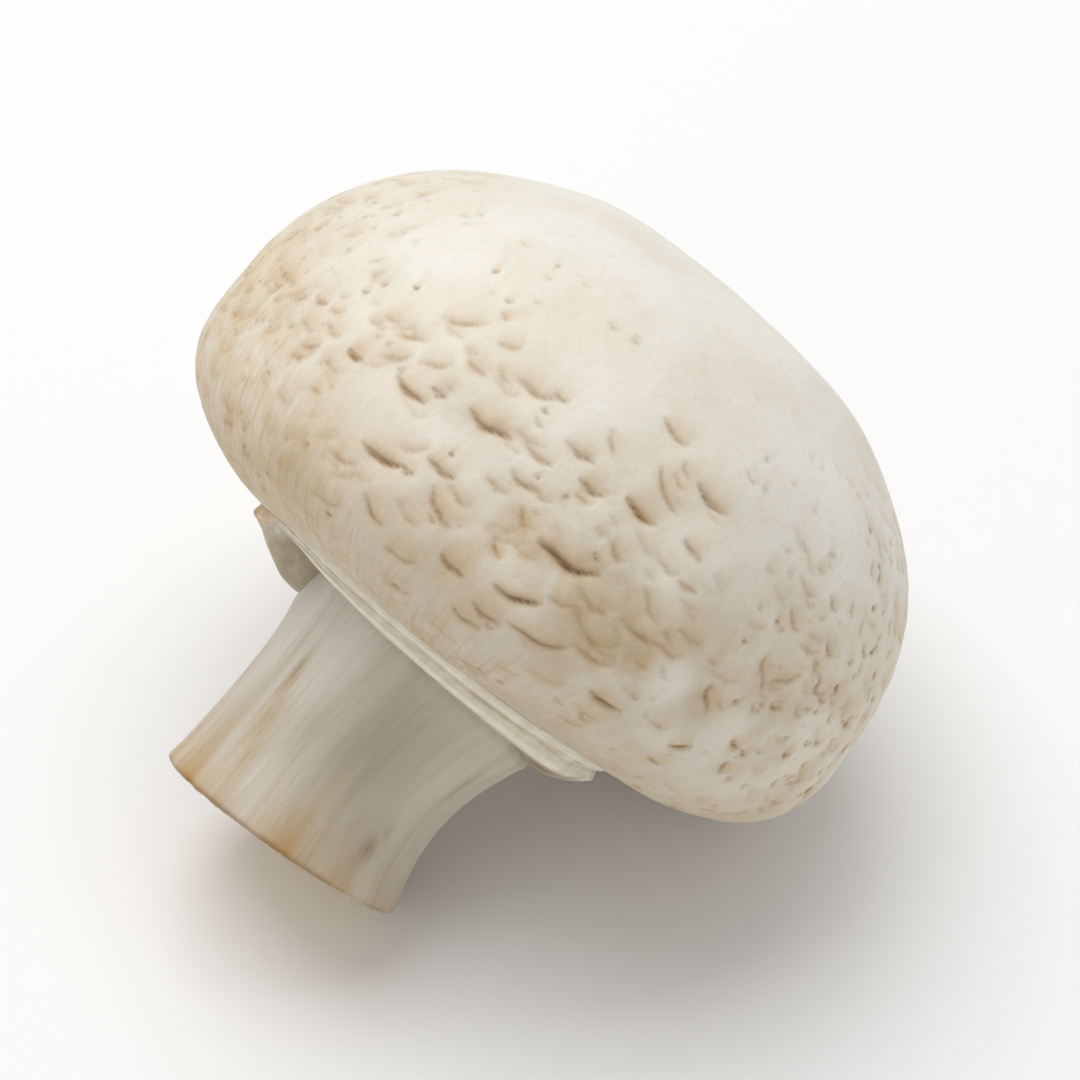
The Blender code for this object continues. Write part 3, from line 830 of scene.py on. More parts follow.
def shaped_stem(shape, profile, azimuth, fibre_depth):
    """The stem's points with its ribs, its long fibres and the slant of its cut."""
    points = upright(profile, azimuth)
    radius, height = profile[:, 0][:, None], profile[:, 1][:, None]
    on_stem = smooth_step(STEM_TOP, STEM_TOP - RIB_FADE, height)
    on_side = on_stem * smooth_step(-shape.stem_length, 1.2 * MM - shape.stem_length, height)
    ribs = -np.cos(STEM_RIBS * azimuth) - FINE_RIB_SHARE * np.cos(2 * STEM_RIBS * azimuth + 1.0)
    push = STEM_RIB_HEIGHT * ribs * on_side
    if fibre_depth:
        long_way = on_cylinder(shape.waist_radius, azimuth, 0.04 * profile[:, 1])
        fibres = lattice_noise(long_way, 0.45 * MM, 7) + 0.7 * lattice_noise(long_way, 1.1 * MM, 8)
        push = push + fibre_depth * fibres * on_side
        grain = lattice_noise(points, 0.8 * MM, 9) + 0.6 * lattice_noise(points, 0.35 * MM, 10)
        off_centre = smooth_step(0.3 * MM, 1.5 * MM, radius)
        on_face = (1.0 - on_side) * (height < WAIST_HEIGHT) * off_centre
        points[..., 2] += 0.035 * MM * grain * on_face
    outward = outward_of(profile)
    points += upright(outward, azimuth) * push[..., None]
    out, up = veil_draw(azimuth, shape.neck_radius, np.minimum(height, STEM_TOP))
    points += upright_shift(out * (radius > shape.waist_radius), up, azimuth)
    end = -shape.stem_length
    toward_cut = smooth_step(WAIST_HEIGHT, end, height)
    toward_rise = radius * np.cos(azimuth - CUT_AZIMUTH)
    points[..., 2] += toward_cut * CUT_RISE * toward_rise / shape.end_radius
    points[..., :2] *= slimmer(azimuth)[:, None]
    down = np.clip((STEM_TOP - height) / (STEM_TOP - end), 0.0, 1.0)
    aside = STEM_BEND * np.sin(math.pi * down) + STEM_LEAN * down
    points[..., 0] += aside * math.cos(LEAN_AZIMUTH)
    points[..., 1] += aside * math.sin(LEAN_AZIMUTH)
    return points


# ---- Placing ------------------------------------------------------------------------------------


def resting_tilt(cap, stem):
    """The angle of the stem above the ground at which cap and stem touch it together."""
    low, high = math.radians(15), math.radians(60)
    while high - low > 1e-7:
        tilt = (low + high) / 2.0
        down = np.array([math.cos(tilt), 0.0, -math.sin(tilt)])
        if (cap @ down).max() > (stem @ down).max():
            low = tilt
        else:
            high = tilt
    return tilt


class Placing:
    """Lays upright points down where the frame's solid lies."""

    def __init__(self, context):
        shape, look = context.scene.mushroom_shape, context.scene.mushroom_skin
        margin_distance = walked(cap_outline(shape))[-1]
        rows = np.arange(TRIAL_ROW, margin_distance, TRIAL_ROW)
        azimuths = even_azimuths(TRIAL_SEGMENTS)
        cap = cap_grid(shape, look, rows, azimuths, fine=False)[0].reshape(-1, 3)
        profile = stem_outline(shape)
        profile = profile[profile[:, 1] < STEM_TOP]
        stem = shaped_stem(shape, profile, azimuths, 0.0).reshape(-1, 3)
        tilt = resting_tilt(cap, stem)
        lean = math.pi / 2.0 - tilt
        self.turn = np.array([
            [math.cos(lean), 0.0, math.sin(lean)],
            [0.0, 1.0, 0.0],
            [-math.sin(lean), 0.0, math.cos(lean)],
        ])
        lying = np.concatenate([cap, stem]) @ self.turn.T
        low, high = lying.min(axis=0), lying.max(axis=0)
        self.box = [np.array(corner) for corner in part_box(NODE)]
        self.move = (self.box[0] + self.box[1] - low - high) / 2.0
        self.move[2] = self.box[0][2] - low[2] - SINK

    def lay(self, points):
        """The points laid down, and held inside the solid's box, so flat where it rests."""
        placed = points @ self.turn.T + self.move
        return np.clip(placed, self.box[0], self.box[1])

    def turned(self, directions):
        return directions @ self.turn.T


# ---- Meshes -------------------------------------------------------------------------------------


def ring_quads(rows, segments, looped=False):
    """Outward quads of a grid whose columns run right round, and its rows too if looped."""
    row = np.arange(rows if looped else rows - 1)[:, None]
    column = np.arange(segments)[None, :]
    below, beside = (row + 1) % rows, (column + 1) % segments
    corners = [row * segments + column, below * segments + column,
               below * segments + beside, row * segments + beside]
    return np.stack(corners, axis=-1).reshape(-1, 4).tolist()


def split_along(quads, height):
    """Each quad cut in two along the diagonal whose ends lie closer in height."""
    quads = np.array(quads)
    a, b, c, d = quads.T
    rise = height.ravel()
    straight = (np.abs(rise[a] - rise[c]) <= np.abs(rise[b] - rise[d]))[:, None]
    first = np.where(straight, quads[:, [0, 1, 2]], quads[:, [0, 1, 3]])
    second = np.where(straight, quads[:, [0, 2, 3]], quads[:, [1, 2, 3]])
    return np.concatenate([first, second]).tolist()


def add_fans(points, faces, top, bottom):
    """Closes both ends of a grid with a fan to a point on the axis."""
    rows, segments = points.shape[:2]
    first, last = rows * segments, rows * segments + 1
    foot = (rows - 1) * segments
    for column in range(segments):
        beside = (column + 1) % segments
        faces.append([first, column, beside])
        faces.append([foot + column, last, foot + beside])
    return np.concatenate([points.reshape(-1, 3), [top, bottom]])


def spread(values, shape):
    """A value for each grid point and for the two fan points."""
    values = np.broadcast_to(values, shape)
    return np.concatenate([values.ravel(), [values[0].mean(), values[-1].mean()]])


def with_fans(places):
    """A grid's places, with two more for its fan points."""
    return np.concatenate([places.reshape(-1, 3), places[0, :1], places[-1, :1]])


def make_piece(name, points, faces, material, masks):
    """A smooth mesh object with a float attribute for each mask."""
    mesh = bpy.data.meshes.new(name)
    mesh.from_pydata(points.tolist(), [], faces)
    mesh.validate()
    mesh.shade_smooth()
    mesh.materials.append(material)
    for mask, values in masks.items():
        kind = "FLOAT_VECTOR" if values.ndim == 2 else "FLOAT"
        attribute = mesh.attributes.new(mask, kind, "POINT")
        key = "vector" if values.ndim == 2 else "value"
        attribute.data.foreach_set(key, values.astype(np.float32).ravel())
    piece = bpy.data.objects.new(name, mesh)
    bpy.context.scene.collection.objects.link(piece)
    return piece


def declare(piece):
    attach(piece, BODY)
    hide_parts(NODE)


# ---- Materials ----------------------------------------------------------------------------------


class Wiring:
    """Short ways to add nodes to a tree and to join them."""

    def __init__(self, tree):
        self.tree = tree

    def add(self, kind, inputs=(), **settings):
        """A node with its settings, and its inputs given by name or number."""
        node = self.tree.nodes.new(kind)
        for name, value in settings.items():
            setattr(node, name, value)
        for name, value in dict(inputs).items():
            if isinstance(value, bpy.types.NodeSocket):
                self.tree.links.new(value, node.inputs[name])
            else:
                node.inputs[name].default_value = value
        return node

    def mask(self, name):
        node = self.add("ShaderNodeAttribute", attribute_name=name)
        return node.outputs["Fac"]

    def place(self, name):
        node = self.add("ShaderNodeAttribute", attribute_name=name)
        return node.outputs["Vector"]

    def noise(self, vector, size, detail=3.0, roughness=0.55):
        inputs = {"Vector": vector, "Scale": 1.0 / size, "Detail": detail, "Roughness": roughness}
        return self.add("ShaderNodeTexNoise", inputs).outputs["Fac"]

    def maths(self, operation, first, second=0.5):
        node = self.add("ShaderNodeMath", {0: first, 1: second}, operation=operation)
        return node.outputs[0]

    def ramp(self, value, low, high, start=0.0, end=1.0):
        inputs = {"Value": value, "From Min": low, "From Max": high, "To Min": start, "To Max": end}
        return self.add("ShaderNodeMapRange", inputs, clamp=True).outputs["Result"]

    def blend(self, amount, first, second):
        inputs = {0: amount, 6: first, 7: second}
        return self.add("ShaderNodeMix", inputs, data_type="RGBA").outputs[2]

    def tint(self, colour, mask, pattern, reach, shade):
        """The colour turned to a shade where a mask says, as unevenly as a ramped pattern."""
        amount = self.maths("MULTIPLY", self.mask(mask), self.ramp(pattern, *reach))
        return self.blend(amount, colour, full(shade))


def full(colour):
    """A colour with its alpha."""
    return (*colour, 1.0)


def new_material(name, roughness, subsurface=0.25):
    """A Principled material with soft flesh under its surface."""
    material = bpy.data.materials.new(name)
    material.use_nodes = True
    shader = material.node_tree.nodes["Principled BSDF"]
    shader.inputs["Roughness"].default_value = roughness
    shader.inputs["Specular IOR Level"].default_value = 0.35
    shader.inputs["Subsurface Weight"].default_value = subsurface
    shader.inputs["Subsurface Radius"].default_value = (1.0, 0.75, 0.5)
    shader.inputs["Subsurface Scale"].default_value = 0.9 * MM
    return material, Wiring(material.node_tree), shader


def join_surface(wiring, shader, colour, roughness, height, distance):
    """Joins a material's colour, roughness and bump to its shader."""
    links = wiring.tree.links
    links.new(colour, shader.inputs["Base Color"])
    links.new(roughness, shader.inputs["Roughness"])
    bump = wiring.add("ShaderNodeBump", {"Height": height, "Distance": distance, "Strength": 1.0})
    links.new(bump.outputs["Normal"], shader.inputs["Normal"])


def cap_material(look):
    material, w, shader = new_material("cap skin", 0.6)
    place = w.add("ShaderNodeTexCoord").outputs["Object"]
    broad = w.noise(place, 9.0 * MM)
    mottle = w.noise(place, 1.6 * MM, 6.0, 0.62)
    grain = w.noise(place, 0.28 * MM, 3.0)
    streak = w.noise(w.place("fibre place"), 0.42 * MM, 3.0, 0.6)

    colour = w.blend(w.ramp(broad, 0.38, 0.66), full(look.cream), full(look.warm_cream))
    speckle = w.ramp(w.noise(place, 0.55 * MM, 4.0, 0.7), 0.5, 0.75, 0.0, 0.30)
    colour = w.blend(speckle, colour, full(screen(219, 203, 172)))
    # Tints over the cream: tan with painted shade where the cap turns under, the skin's own warm and
    # fibrous tan, tan with painted shade in the dips and patches, and tan with painted shade on the
    # slopes above the cracks
    for mask, pattern, reach, shade in (
        ("cheek", mottle, (0.25, 0.70, 0.65, 1.00), look.cheek),
        ("warmth", mottle, (0.35, 0.65, 0.28, 0.80), screen(215, 188, 146)),
        ("fibrous", streak, (0.50, 0.68, 0.00, 0.50), screen(180, 152, 114)),
        ("hollow", mottle, (0.30, 0.70, 0.35, 0.75), screen(188, 161, 116)),
        ("tan_and_slope_shade", mottle, (0.30, 0.62, 0.51, 0.85), look.tan),
    ):
        colour = w.tint(colour, mask, pattern, reach, shade)
    freckle = w.add("ShaderNodeTexVoronoi", {"Vector": place, "Scale": 1.0 / (0.85 * MM)})
    dot = w.ramp(freckle.outputs["Distance"], 0.17, 0.26, 1.0, 0.0)
    drawn = w.ramp(w.noise(place, 1.3 * MM, 2.0), 0.53, 0.6)
    freckles = w.maths("MULTIPLY", w.maths("MULTIPLY", dot, drawn), w.mask("freckles"))
    colour = w.blend(w.maths("MULTIPLY", freckles, 0.75), colour, full(screen(146, 112, 74)))
    # Brown with painted shade deep in the cracks
    colour = w.tint(colour, "crack", mottle, (0.30, 0.55, 0.51, 0.85), look.crack)

    roughness = w.ramp(mottle, 0.3, 0.7, 0.5, 0.68)
    fine = w.maths("ADD", w.maths("MULTIPLY", mottle, 1.0), w.maths("MULTIPLY", grain, 0.35))
    lines = w.maths("MULTIPLY", w.maths("MULTIPLY", streak, w.mask("fibrous")), 0.8)
    fine = w.maths("SUBTRACT", w.maths("ADD", fine, lines), w.maths("MULTIPLY", freckles, 0.6))
    join_surface(w, shader, colour, roughness, fine, 0.09 * MM)
    return material


def veil_material(look):
    material, w, shader = new_material("veil", 0.75)
    place = w.add("ShaderNodeTexCoord").outputs["Object"]
    mottle = w.noise(place, 1.2 * MM, 5.0, 0.6)
    streak = w.noise(w.place("fibre place"), 0.30 * MM, 3.0, 0.6)
    colour = w.blend(w.ramp(mottle, 0.4, 0.7, 0.0, 0.25), full(look.band), full(look.line))
    colour = w.blend(w.ramp(streak, 0.52, 0.75, 0.0, 0.30), colour, full(screen(186, 170, 140)))
    # Painted shade on the collar's underside
    colour = w.blend(w.maths("MULTIPLY", w.mask("under"), 0.45), colour, full(screen(172, 158, 132)))
    # Tints: a painted shadow line under the cap's margin, tan with painted shade in the folds, the torn
    # flap's own tan, painted shade on the walls and painted shadow in the pits under the ridge
    for mask, reach, shade in (
        ("margin shadow line", (0.30, 0.60, 0.500, 0.90), screen(150, 142, 122)),
        ("shaded tan line", (0.30, 0.60, 0.425, 0.85), look.line),
        ("torn", (0.35, 0.60, 0.500, 1.00), screen(204, 165, 115)),
        ("wall", (0.30, 0.60, 0.250, 0.60), screen(166, 148, 120)),
        ("under_ridge_shade", (0.30, 0.60, 0.700, 1.00), screen(134, 110, 78)),
    ):
        colour = w.tint(colour, mask, mottle, reach, shade)
    roughness = w.ramp(mottle, 0.3, 0.7, 0.65, 0.85)
    fine = w.maths("ADD", streak, w.maths("MULTIPLY", mottle, 0.5))
    join_surface(w, shader, colour, roughness, fine, 0.04 * MM)
    return material


def stem_material(look):
    material, w, shader = new_material("stem flesh", 0.62)
    place = w.add("ShaderNodeTexCoord").outputs["Object"]
    mottle = w.noise(place, 1.5 * MM, 5.0, 0.6)
    fine_streak = w.noise(w.place("fibre place"), 0.24 * MM, 4.0, 0.65)
    broad_streak = w.noise(w.place("fibre place"), 1.5 * MM, 3.0, 0.6)
    side = w.mask("side")
    fine_part = w.ramp(fine_streak, 0.42, 0.75, 0.0, 0.24)
    fibres = w.maths("ADD", fine_part, w.ramp(broad_streak, 0.42, 0.72, 0.0, 0.42))
    # A paler tone with painted light where the stem is lit
    pale = w.blend(w.mask("pale"), full(look.flesh), full(screen(230, 224, 214)))
    side_colour = w.blend(fibres, pale, full(look.shade))
    # The first tint is a darker tone with painted shade where the cap shades the stem; ochre and brown
    # are stains
    for mask, pattern, reach, shade in (
        ("shaded_dusky", broad_streak, (0.30, 0.65, 0.60, 1.00), screen(172, 163, 145)),
        ("ochre", fine_streak, (0.30, 0.62, 0.45, 1.00), screen(190, 160, 112)),
        ("brown", fine_streak, (0.30, 0.62, 0.45, 1.00), screen(150, 126, 92)),
    ):
        side_colour = w.tint(side_colour, mask, pattern, reach, shade)
    face_colour = w.blend(w.ramp(mottle, 0.4, 0.65), full(look.face), full(screen(214, 190, 150)))
    face_colour = w.blend(w.mask("pith"), face_colour, full(look.pith))
    colour = w.blend(side, face_colour, side_colour)
    colour = w.tint(colour, "stain", broad_streak, (0.35, 0.62, 0.60, 1.00), look.stain)
    colour = w.tint(colour, "rim", mottle, (0.30, 0.60, 0.55, 1.00), look.rim)
    roughness = w.ramp(mottle, 0.3, 0.7, 0.52, 0.7)
    along = w.maths("MULTIPLY", fine_streak, side)
    fine = w.maths("ADD", along, w.maths("MULTIPLY", mottle, 0.5))
    join_surface(w, shader, colour, roughness, fine, 0.08 * MM)
    return material


def wool_material(name, colour):
    material, w, shader = new_material(name, 0.8, subsurface=0.0)
    place = w.add("ShaderNodeTexCoord").outputs["Object"]
    tone = w.noise(place, 1.4 * MM, 3.0)
    shades = w.blend(w.ramp(tone, 0.35, 0.65), full(colour), full(screen(206, 188, 158)))
    roughness = w.ramp(tone, 0.3, 0.7, 0.7, 0.9)
    join_surface(w, shader, shades, roughness, tone, 0.02 * MM)
    return material


# ---- Strands by Geometry Nodes ------------------------------------------------------------------


def strand_tree():
    """A tree that sweeps a round strand along every chain of edges, as wide as its thickness."""
    tree = bpy.data.node_groups.new("Strands", "GeometryNodeTree")
    panel = tree.interface
    panel.new_socket("Geometry", in_out="OUTPUT", socket_type="NodeSocketGeometry")
    panel.new_socket("Geometry", in_out="INPUT", socket_type="NodeSocketGeometry")
    for name, kind, default in (
        ("Width", "NodeSocketFloat", 0.07 * MM),
        ("Sides", "NodeSocketInt", STRAND_SIDES),
        ("Stray", "NodeSocketFloat", 0.03 * MM),
        ("Seed", "NodeSocketInt", 1),
    ):
        socket = panel.new_socket(name, in_out="INPUT", socket_type=kind)
        socket.default_value = default
    panel.new_socket("Material", in_out="INPUT", socket_type="NodeSocketMaterial")
    w = Wiring(tree)
    given = w.add("NodeGroupInput").outputs
    chains = w.add("GeometryNodeMeshToCurve", {"Mesh": given["Geometry"]})
    noise = w.add("ShaderNodeTexNoise", {"W": given["Seed"], "Scale": 1.0 / (0.9 * MM)},
                  noise_dimensions="4D")
    centred = w.add("ShaderNodeVectorMath", {0: noise.outputs["Color"], 1: (0.5, 0.5, 0.5)},
                    operation="SUBTRACT")
    strayed = w.add("ShaderNodeVectorMath", {0: centred.outputs[0], "Scale": given["Stray"]},
                    operation="SCALE")
    wavy = w.add("GeometryNodeSetPosition", {
        "Geometry": chains.outputs["Curve"], "Offset": strayed.outputs[0],
    })
    thick = w.add("GeometryNodeInputNamedAttribute", {"Name": "thickness"}, data_type="FLOAT")
    half = w.maths("MULTIPLY", w.maths("MULTIPLY", thick.outputs[0], given["Width"]), 0.5)
    ring = w.add("GeometryNodeCurvePrimitiveCircle", {
        "Resolution": given["Sides"], "Radius": 1.0,
    })
    swept = w.add("GeometryNodeCurveToMesh", {
        "Curve": wavy.outputs["Geometry"], "Profile Curve": ring.outputs["Curve"],
        "Scale": half, "Fill Caps": True,
    })
    real = w.add("GeometryNodeRealizeInstances", {"Geometry": swept.outputs["Mesh"]})
    dressed = w.add("GeometryNodeSetMaterial", {
        "Geometry": real.outputs["Geometry"], "Material": given["Material"],
    })
    out = w.add("NodeGroupOutput")
    tree.links.new(dressed.outputs["Geometry"], out.inputs["Geometry"])
    return tree


def strand_guides(surface, rows, count, spans, seed):
    """Chains of points that run round a placed grid between two of its rows, and their widths."""
    rng = np.random.default_rng(seed)
    height, segments = surface.shape[:2]
    chains = []
    for _ in range(count):
        row, column = rng.uniform(*rows), rng.uniform(0.0, segments)
        span = rng.uniform(*spans)
        drift, bend, size = rng.uniform(-1.0, 1.0, 3)
        along = np.linspace(0.0, 1.0, max(int(span / 2.0), 6))
        place = row + 1.2 * drift * along + 0.8 * bend * np.sin(math.pi * along)
        place = np.clip(place, 1.0, height - 2.0)
        columns = column + span * along
        low, left = np.floor(place).astype(int), np.floor(columns).astype(int)
        down, across = (place - low)[:, None], (columns - left)[:, None]
        near, beside = left % segments, (left + 1) % segments
        upper = surface[low, near] * (1.0 - across) + surface[low, beside] * across
        lower = surface[low + 1, near] * (1.0 - across) + surface[low + 1, beside] * across
        points = upper * (1.0 - down) + lower * down
        thickness = (1.0 + 0.6 * size) * np.sqrt(np.clip(np.sin(math.pi * along), 0.02, 1.0))
        chains.append((points, thickness))
    return chains


def grow_strands(name, surface, rows, count, spans, width, seed, material):
    """Strands that run round a placed grid, as a plain mesh piece of their own."""
    points, edges, thickness = [], [], []
    for chain, widths in strand_guides(surface, rows, count, spans, seed):
        start = len(points)
        points.extend(chain.tolist())
        thickness.extend(widths.tolist())
        edges.extend((start + step, start + step + 1) for step in range(len(chain) - 1))
    guide = bpy.data.meshes.new(name)
    guide.from_pydata(points, edges, [])
    guide.attributes.new("thickness", "FLOAT", "POINT").data.foreach_set("value", thickness)
    grower = bpy.data.objects.new(name, guide)
    bpy.context.scene.collection.objects.link(grower)
    modifier = grower.modifiers.new("strands", "NODES")
    modifier.node_group = bpy.data.node_groups.get("Strands") or strand_tree()
    given = {"Width": width, "Sides": STRAND_SIDES, "Seed": seed, "Material": material}
    for socket in modifier.node_group.interface.items_tree:
        if socket.in_out == "INPUT" and socket.name in given:
            modifier[socket.identifier] = given[socket.name]
    graph = bpy.context.evaluated_depsgraph_get()
    mesh = bpy.data.meshes.new_from_object(grower.evaluated_get(graph))
    bpy.data.objects.remove(grower)
    if not len(mesh.polygons):
        raise RuntimeError(f"{name}: the tree swept no strands")
    mesh.shade_smooth()
    placed = np.empty(len(mesh.vertices) * 3)
    mesh.vertices.foreach_get("co", placed)
    box = [np.array(corner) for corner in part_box(NODE)]
    mesh.vertices.foreach_set("co", np.clip(placed.reshape(-1, 3), *box).ravel())
    mesh.materials.clear()
    mesh.materials.append(material)
    mesh.polygons.foreach_set("material_index", [0] * len(mesh.polygons))
    mesh.name = name
    piece = bpy.data.objects.new(name, mesh)
    bpy.context.scene.collection.objects.link(piece)
    declare(piece)


# ---- Colour maps --------------------------------------------------------------------------------


def cap_masks(skin, down, lacking, margin_distance):
    """Where the skin is tan, cracked, warm or fibrous, with painted shade on its cheek, in its dips and
    at its cracks, and with the rows that turn in under it.
    """
    side, depth = facing(skin.azimuth)[None, :], down[:, None]
    left_end = bump_at(side, -1.40, 0.50) * bump_at(depth, 34.0 * MM, 7.0 * MM)
    right_end = bump_at(side, 1.25, 0.50) * bump_at(depth, 33.0 * MM, 9.0 * MM)
    low_left = bump_at(side, -0.85, 0.45) * bump_at(depth, 40.0 * MM, 6.0 * MM)
    far_end = bump_at(wrapped(side - math.pi), 0.0, 0.6) * bump_at(depth, 30.0 * MM, 8.0 * MM)
    # Darker and tanner toward the margin: tan skin with painted shade where the cap turns under, paler
    # again at its edge
    cheek = smooth_step(33.0 * MM, 46.0 * MM, depth)
    warmth = 0.9 * left_end + 0.25 * right_end + 0.6 * low_left + 0.5 * far_end
    fibrous = smooth_step(36.0 * MM, 46.0 * MM, depth) * (1.0 - 0.5 * smooth_step(0.0, 0.5, side))
    fibrous = fibrous + 0.5 * left_end + 0.6 * low_left
    pale_edge = smooth_step(margin_distance - 2.8 * MM, margin_distance - 1.3 * MM, depth)
    pale_edge = pale_edge * (0.40 + 0.60 * bump_at(side, -0.95, 0.60))
    masks = {
        "tan_and_slope_shade": np.concatenate([skin.tan_and_slope_shade, lacking]),
        "crack": np.concatenate([skin.crack, lacking]),
        "hollow": np.concatenate([skin.hollow, lacking]),
        "cheek": cheek * (1.0 - 0.75 * pale_edge),
        "warmth": warmth * (1.0 - pale_edge),
        "freckles": 0.7 * left_end + 0.5 * right_end + 0.5 * far_end + 0.05,
        "fibrous": np.clip(fibrous * (1.0 - 0.7 * pale_edge), 0.0, 1.0),
    }
    size = (len(down), len(skin.azimuth))
    masks = {name: spread(mask, size) for name, mask in masks.items()}
    masks["fibre place"] = with_fans(on_cylinder(CAP_FIBRE_RING, skin.azimuth, 0.12 * down))
    return masks


def veil_masks(profile, steps, azimuth, groove):
    """Where the veil has its lines, with a painted shadow line under the margin and painted shade in its
    tan folds, its torn flap, and painted shade on its walls, on its underside and in the pits under its
    ridge.
    """
    side = facing(azimuth)[None, :]
    radius, height = profile[:, 0][:, None], profile[:, 1][:, None]
    patchy = 0.7 + 0.3 * lattice_noise(upright(profile, azimuth), 2.6 * MM, 33)
    right = 0.25 + 0.75 * smooth_step(math.radians(-25), math.radians(15), side)
    flap = bump_at(side, FLAP_CENTRE + 0.10, 0.20) * bump_at(height, -0.25 * MM, 0.50 * MM)
    # Painted shadow in the pits under the ridge, at the flap and at the lobe
    left_under_ridge_shade = bump_at(side, math.radians(-64), math.radians(12))
    right_under_ridge_shade = bump_at(side, math.radians(60), math.radians(10))
    under_ridge_shade = np.maximum(
        left_under_ridge_shade * bump_at(height, -1.9 * MM, 0.8 * MM),
        0.8 * right_under_ridge_shade * bump_at(height, -1.9 * MM, 0.6 * MM),
    )
    # Painted shade on the walls that face down at the flap and the lobe
    flap_wall = smooth_step(math.radians(-60), math.radians(-72), side)
    lobe_wall = smooth_step(math.radians(50), math.radians(66), side)
    wall = np.maximum(
        flap_wall * smooth_step(-0.3 * MM, -1.0 * MM, height),
        0.9 * lobe_wall * smooth_step(-0.5 * MM, -1.1 * MM, height),
    )
    masks = {
        # Tan with painted shade in the groove between the ridges
        "shaded tan line": bump_at(height, groove, 0.12 * MM) * patchy,
        # A painted shadow line under the cap's margin
        "margin shadow line": bump_at(height, 0.72 * MM + 0.5 * groove, 0.13 * MM) * right,
        "torn": flap,
        "under_ridge_shade": under_ridge_shade,
        "wall": wall,
        # Painted shade on the underside
        "under": smooth_step(-0.9 * MM, -1.5 * MM, height) * (radius > 9.0 * MM) + 0.0 * side,
    }
    seen = smooth_step(1.1 * MM, 0.75 * MM, height)
    masks = {name: (seen * mask).ravel() for name, mask in masks.items()}
    masks["fibre place"] = on_cylinder(VEIL_FIBRE_RING, azimuth, steps).reshape(-1, 3)
    return masks


def stem_masks(shape, profile, azimuth):
    """Where the stem is paler with painted light, darker with painted shade, or stained, and where its
    cut has its rim and pith.
    """
    radius, height = profile[:, 0][:, None], profile[:, 1][:, None]
    from_cut = height + shape.stem_length
    on_face = (from_cut < PITH_DEPTH + 0.05 * MM) * (radius < shape.end_radius - END_ROUNDING)
    side = 1.0 - smooth_step(0.0, 1.0, on_face.astype(float))
    bare = upright(profile, azimuth)
    long_way = on_cylinder(shape.waist_radius, azimuth, 0.12 * profile[:, 1])
    streaks = 0.5 + 0.5 * lattice_noise(long_way, 1.3 * MM, 41)
    reach = (1.3 + 3.0 * streaks**2) * MM
    turned = facing(azimuth)[None, :] + 0.03 * lattice_noise(bare, 3.0 * MM, 42)
    stained = np.zeros_like(turned)
    for centre, spread_round, strength in CUT_STAINS:
        off = wrapped(turned - math.radians(centre))
        stained = np.maximum(stained, strength * bump_at(off, 0.0, math.radians(spread_round)))
    edge = np.hypot(radius - shape.end_radius + 0.1 * MM, from_cut - 0.05 * MM)
    rim = bump_at(edge, 0.0, 0.24 * MM) * (0.70 + 0.30 * lattice_noise(bare, 2.5 * MM, 43))
    masks = {
        "side": side,
        "stain": np.exp(-np.maximum(from_cut, 0.0) / reach) * side * (0.15 + 0.85 * stained),
        "pale": marks(LIT_PALE_MARKS, turned, height),
        "shaded_dusky": marks(SHADED_DUSKY_MARKS, turned, height),
        "ochre": marks(OCHRE_MARKS, turned, height),
        "brown": marks(BROWN_MARKS, turned, height),
        "rim": rim,
        "pith": (1.0 - side) * smooth_step(1.15 * PITH_RADIUS, 0.8 * PITH_RADIUS, radius),
    }
    masks = {name: spread(mask, turned.shape) for name, mask in masks.items()}
    fibres = on_cylinder(shape.waist_radius, azimuth, 0.07 * profile[:, 1])
    masks["fibre place"] = with_fans(fibres)
    return masks


# ---- Operators ----------------------------------------------------------------------------------


class MUSHROOM_OT_cap(bpy.types.Operator):
    """Build the cap with its scales and cracks"""

    bl_idname = "mushroom.cap"
    bl_label = "Cap"

    def execute(self, context):
        shape, look = context.scene.mushroom_shape, context.scene.mushroom_skin
        distances = cap_distances(shape)
        azimuths = face_azimuths(CAP_SEGMENTS)
        points, skin, margin_distance = cap_grid(shape, look, distances, azimuths)
        under = upright(spline([MARGIN, *UNDER_CAP], 3)[1:], azimuths)
        grid = np.concatenate([points, under])
        size = grid.shape[:2]
        lacking = np.zeros(under.shape[:2])
        faces = split_along(ring_quads(*size), np.concatenate([skin.height, lacking]))
        top = (0.0, 0.0, float(points[0, :, 2].mean()) + 0.004 * MM)
        bottom = (0.0, 0.0, UNDER_CAP[-1][1])
        flat = add_fans(grid, faces, top, bottom)
        past_margin = np.arange(1, len(under) + 1) * UNDER_ROW
        down = np.concatenate([distances, margin_distance + past_margin])
        masks = cap_masks(skin, down, lacking, margin_distance)
        placed = Placing(context).lay(flat)
        declare(make_piece("cap_skin", placed, faces, cap_material(look), masks))
        surface = placed[:size[0] * size[1]].reshape(*size, 3)
        low_rows = np.searchsorted(distances, (margin_distance - 2.4 * MM, margin_distance))
        grow_strands(
            "margin_strands", surface, low_rows, look.margin_strands, (8, 40),
            look.margin_strand_width, 3, wool_material("margin strands", look.warm_cream),
        )
        return {"FINISHED"}


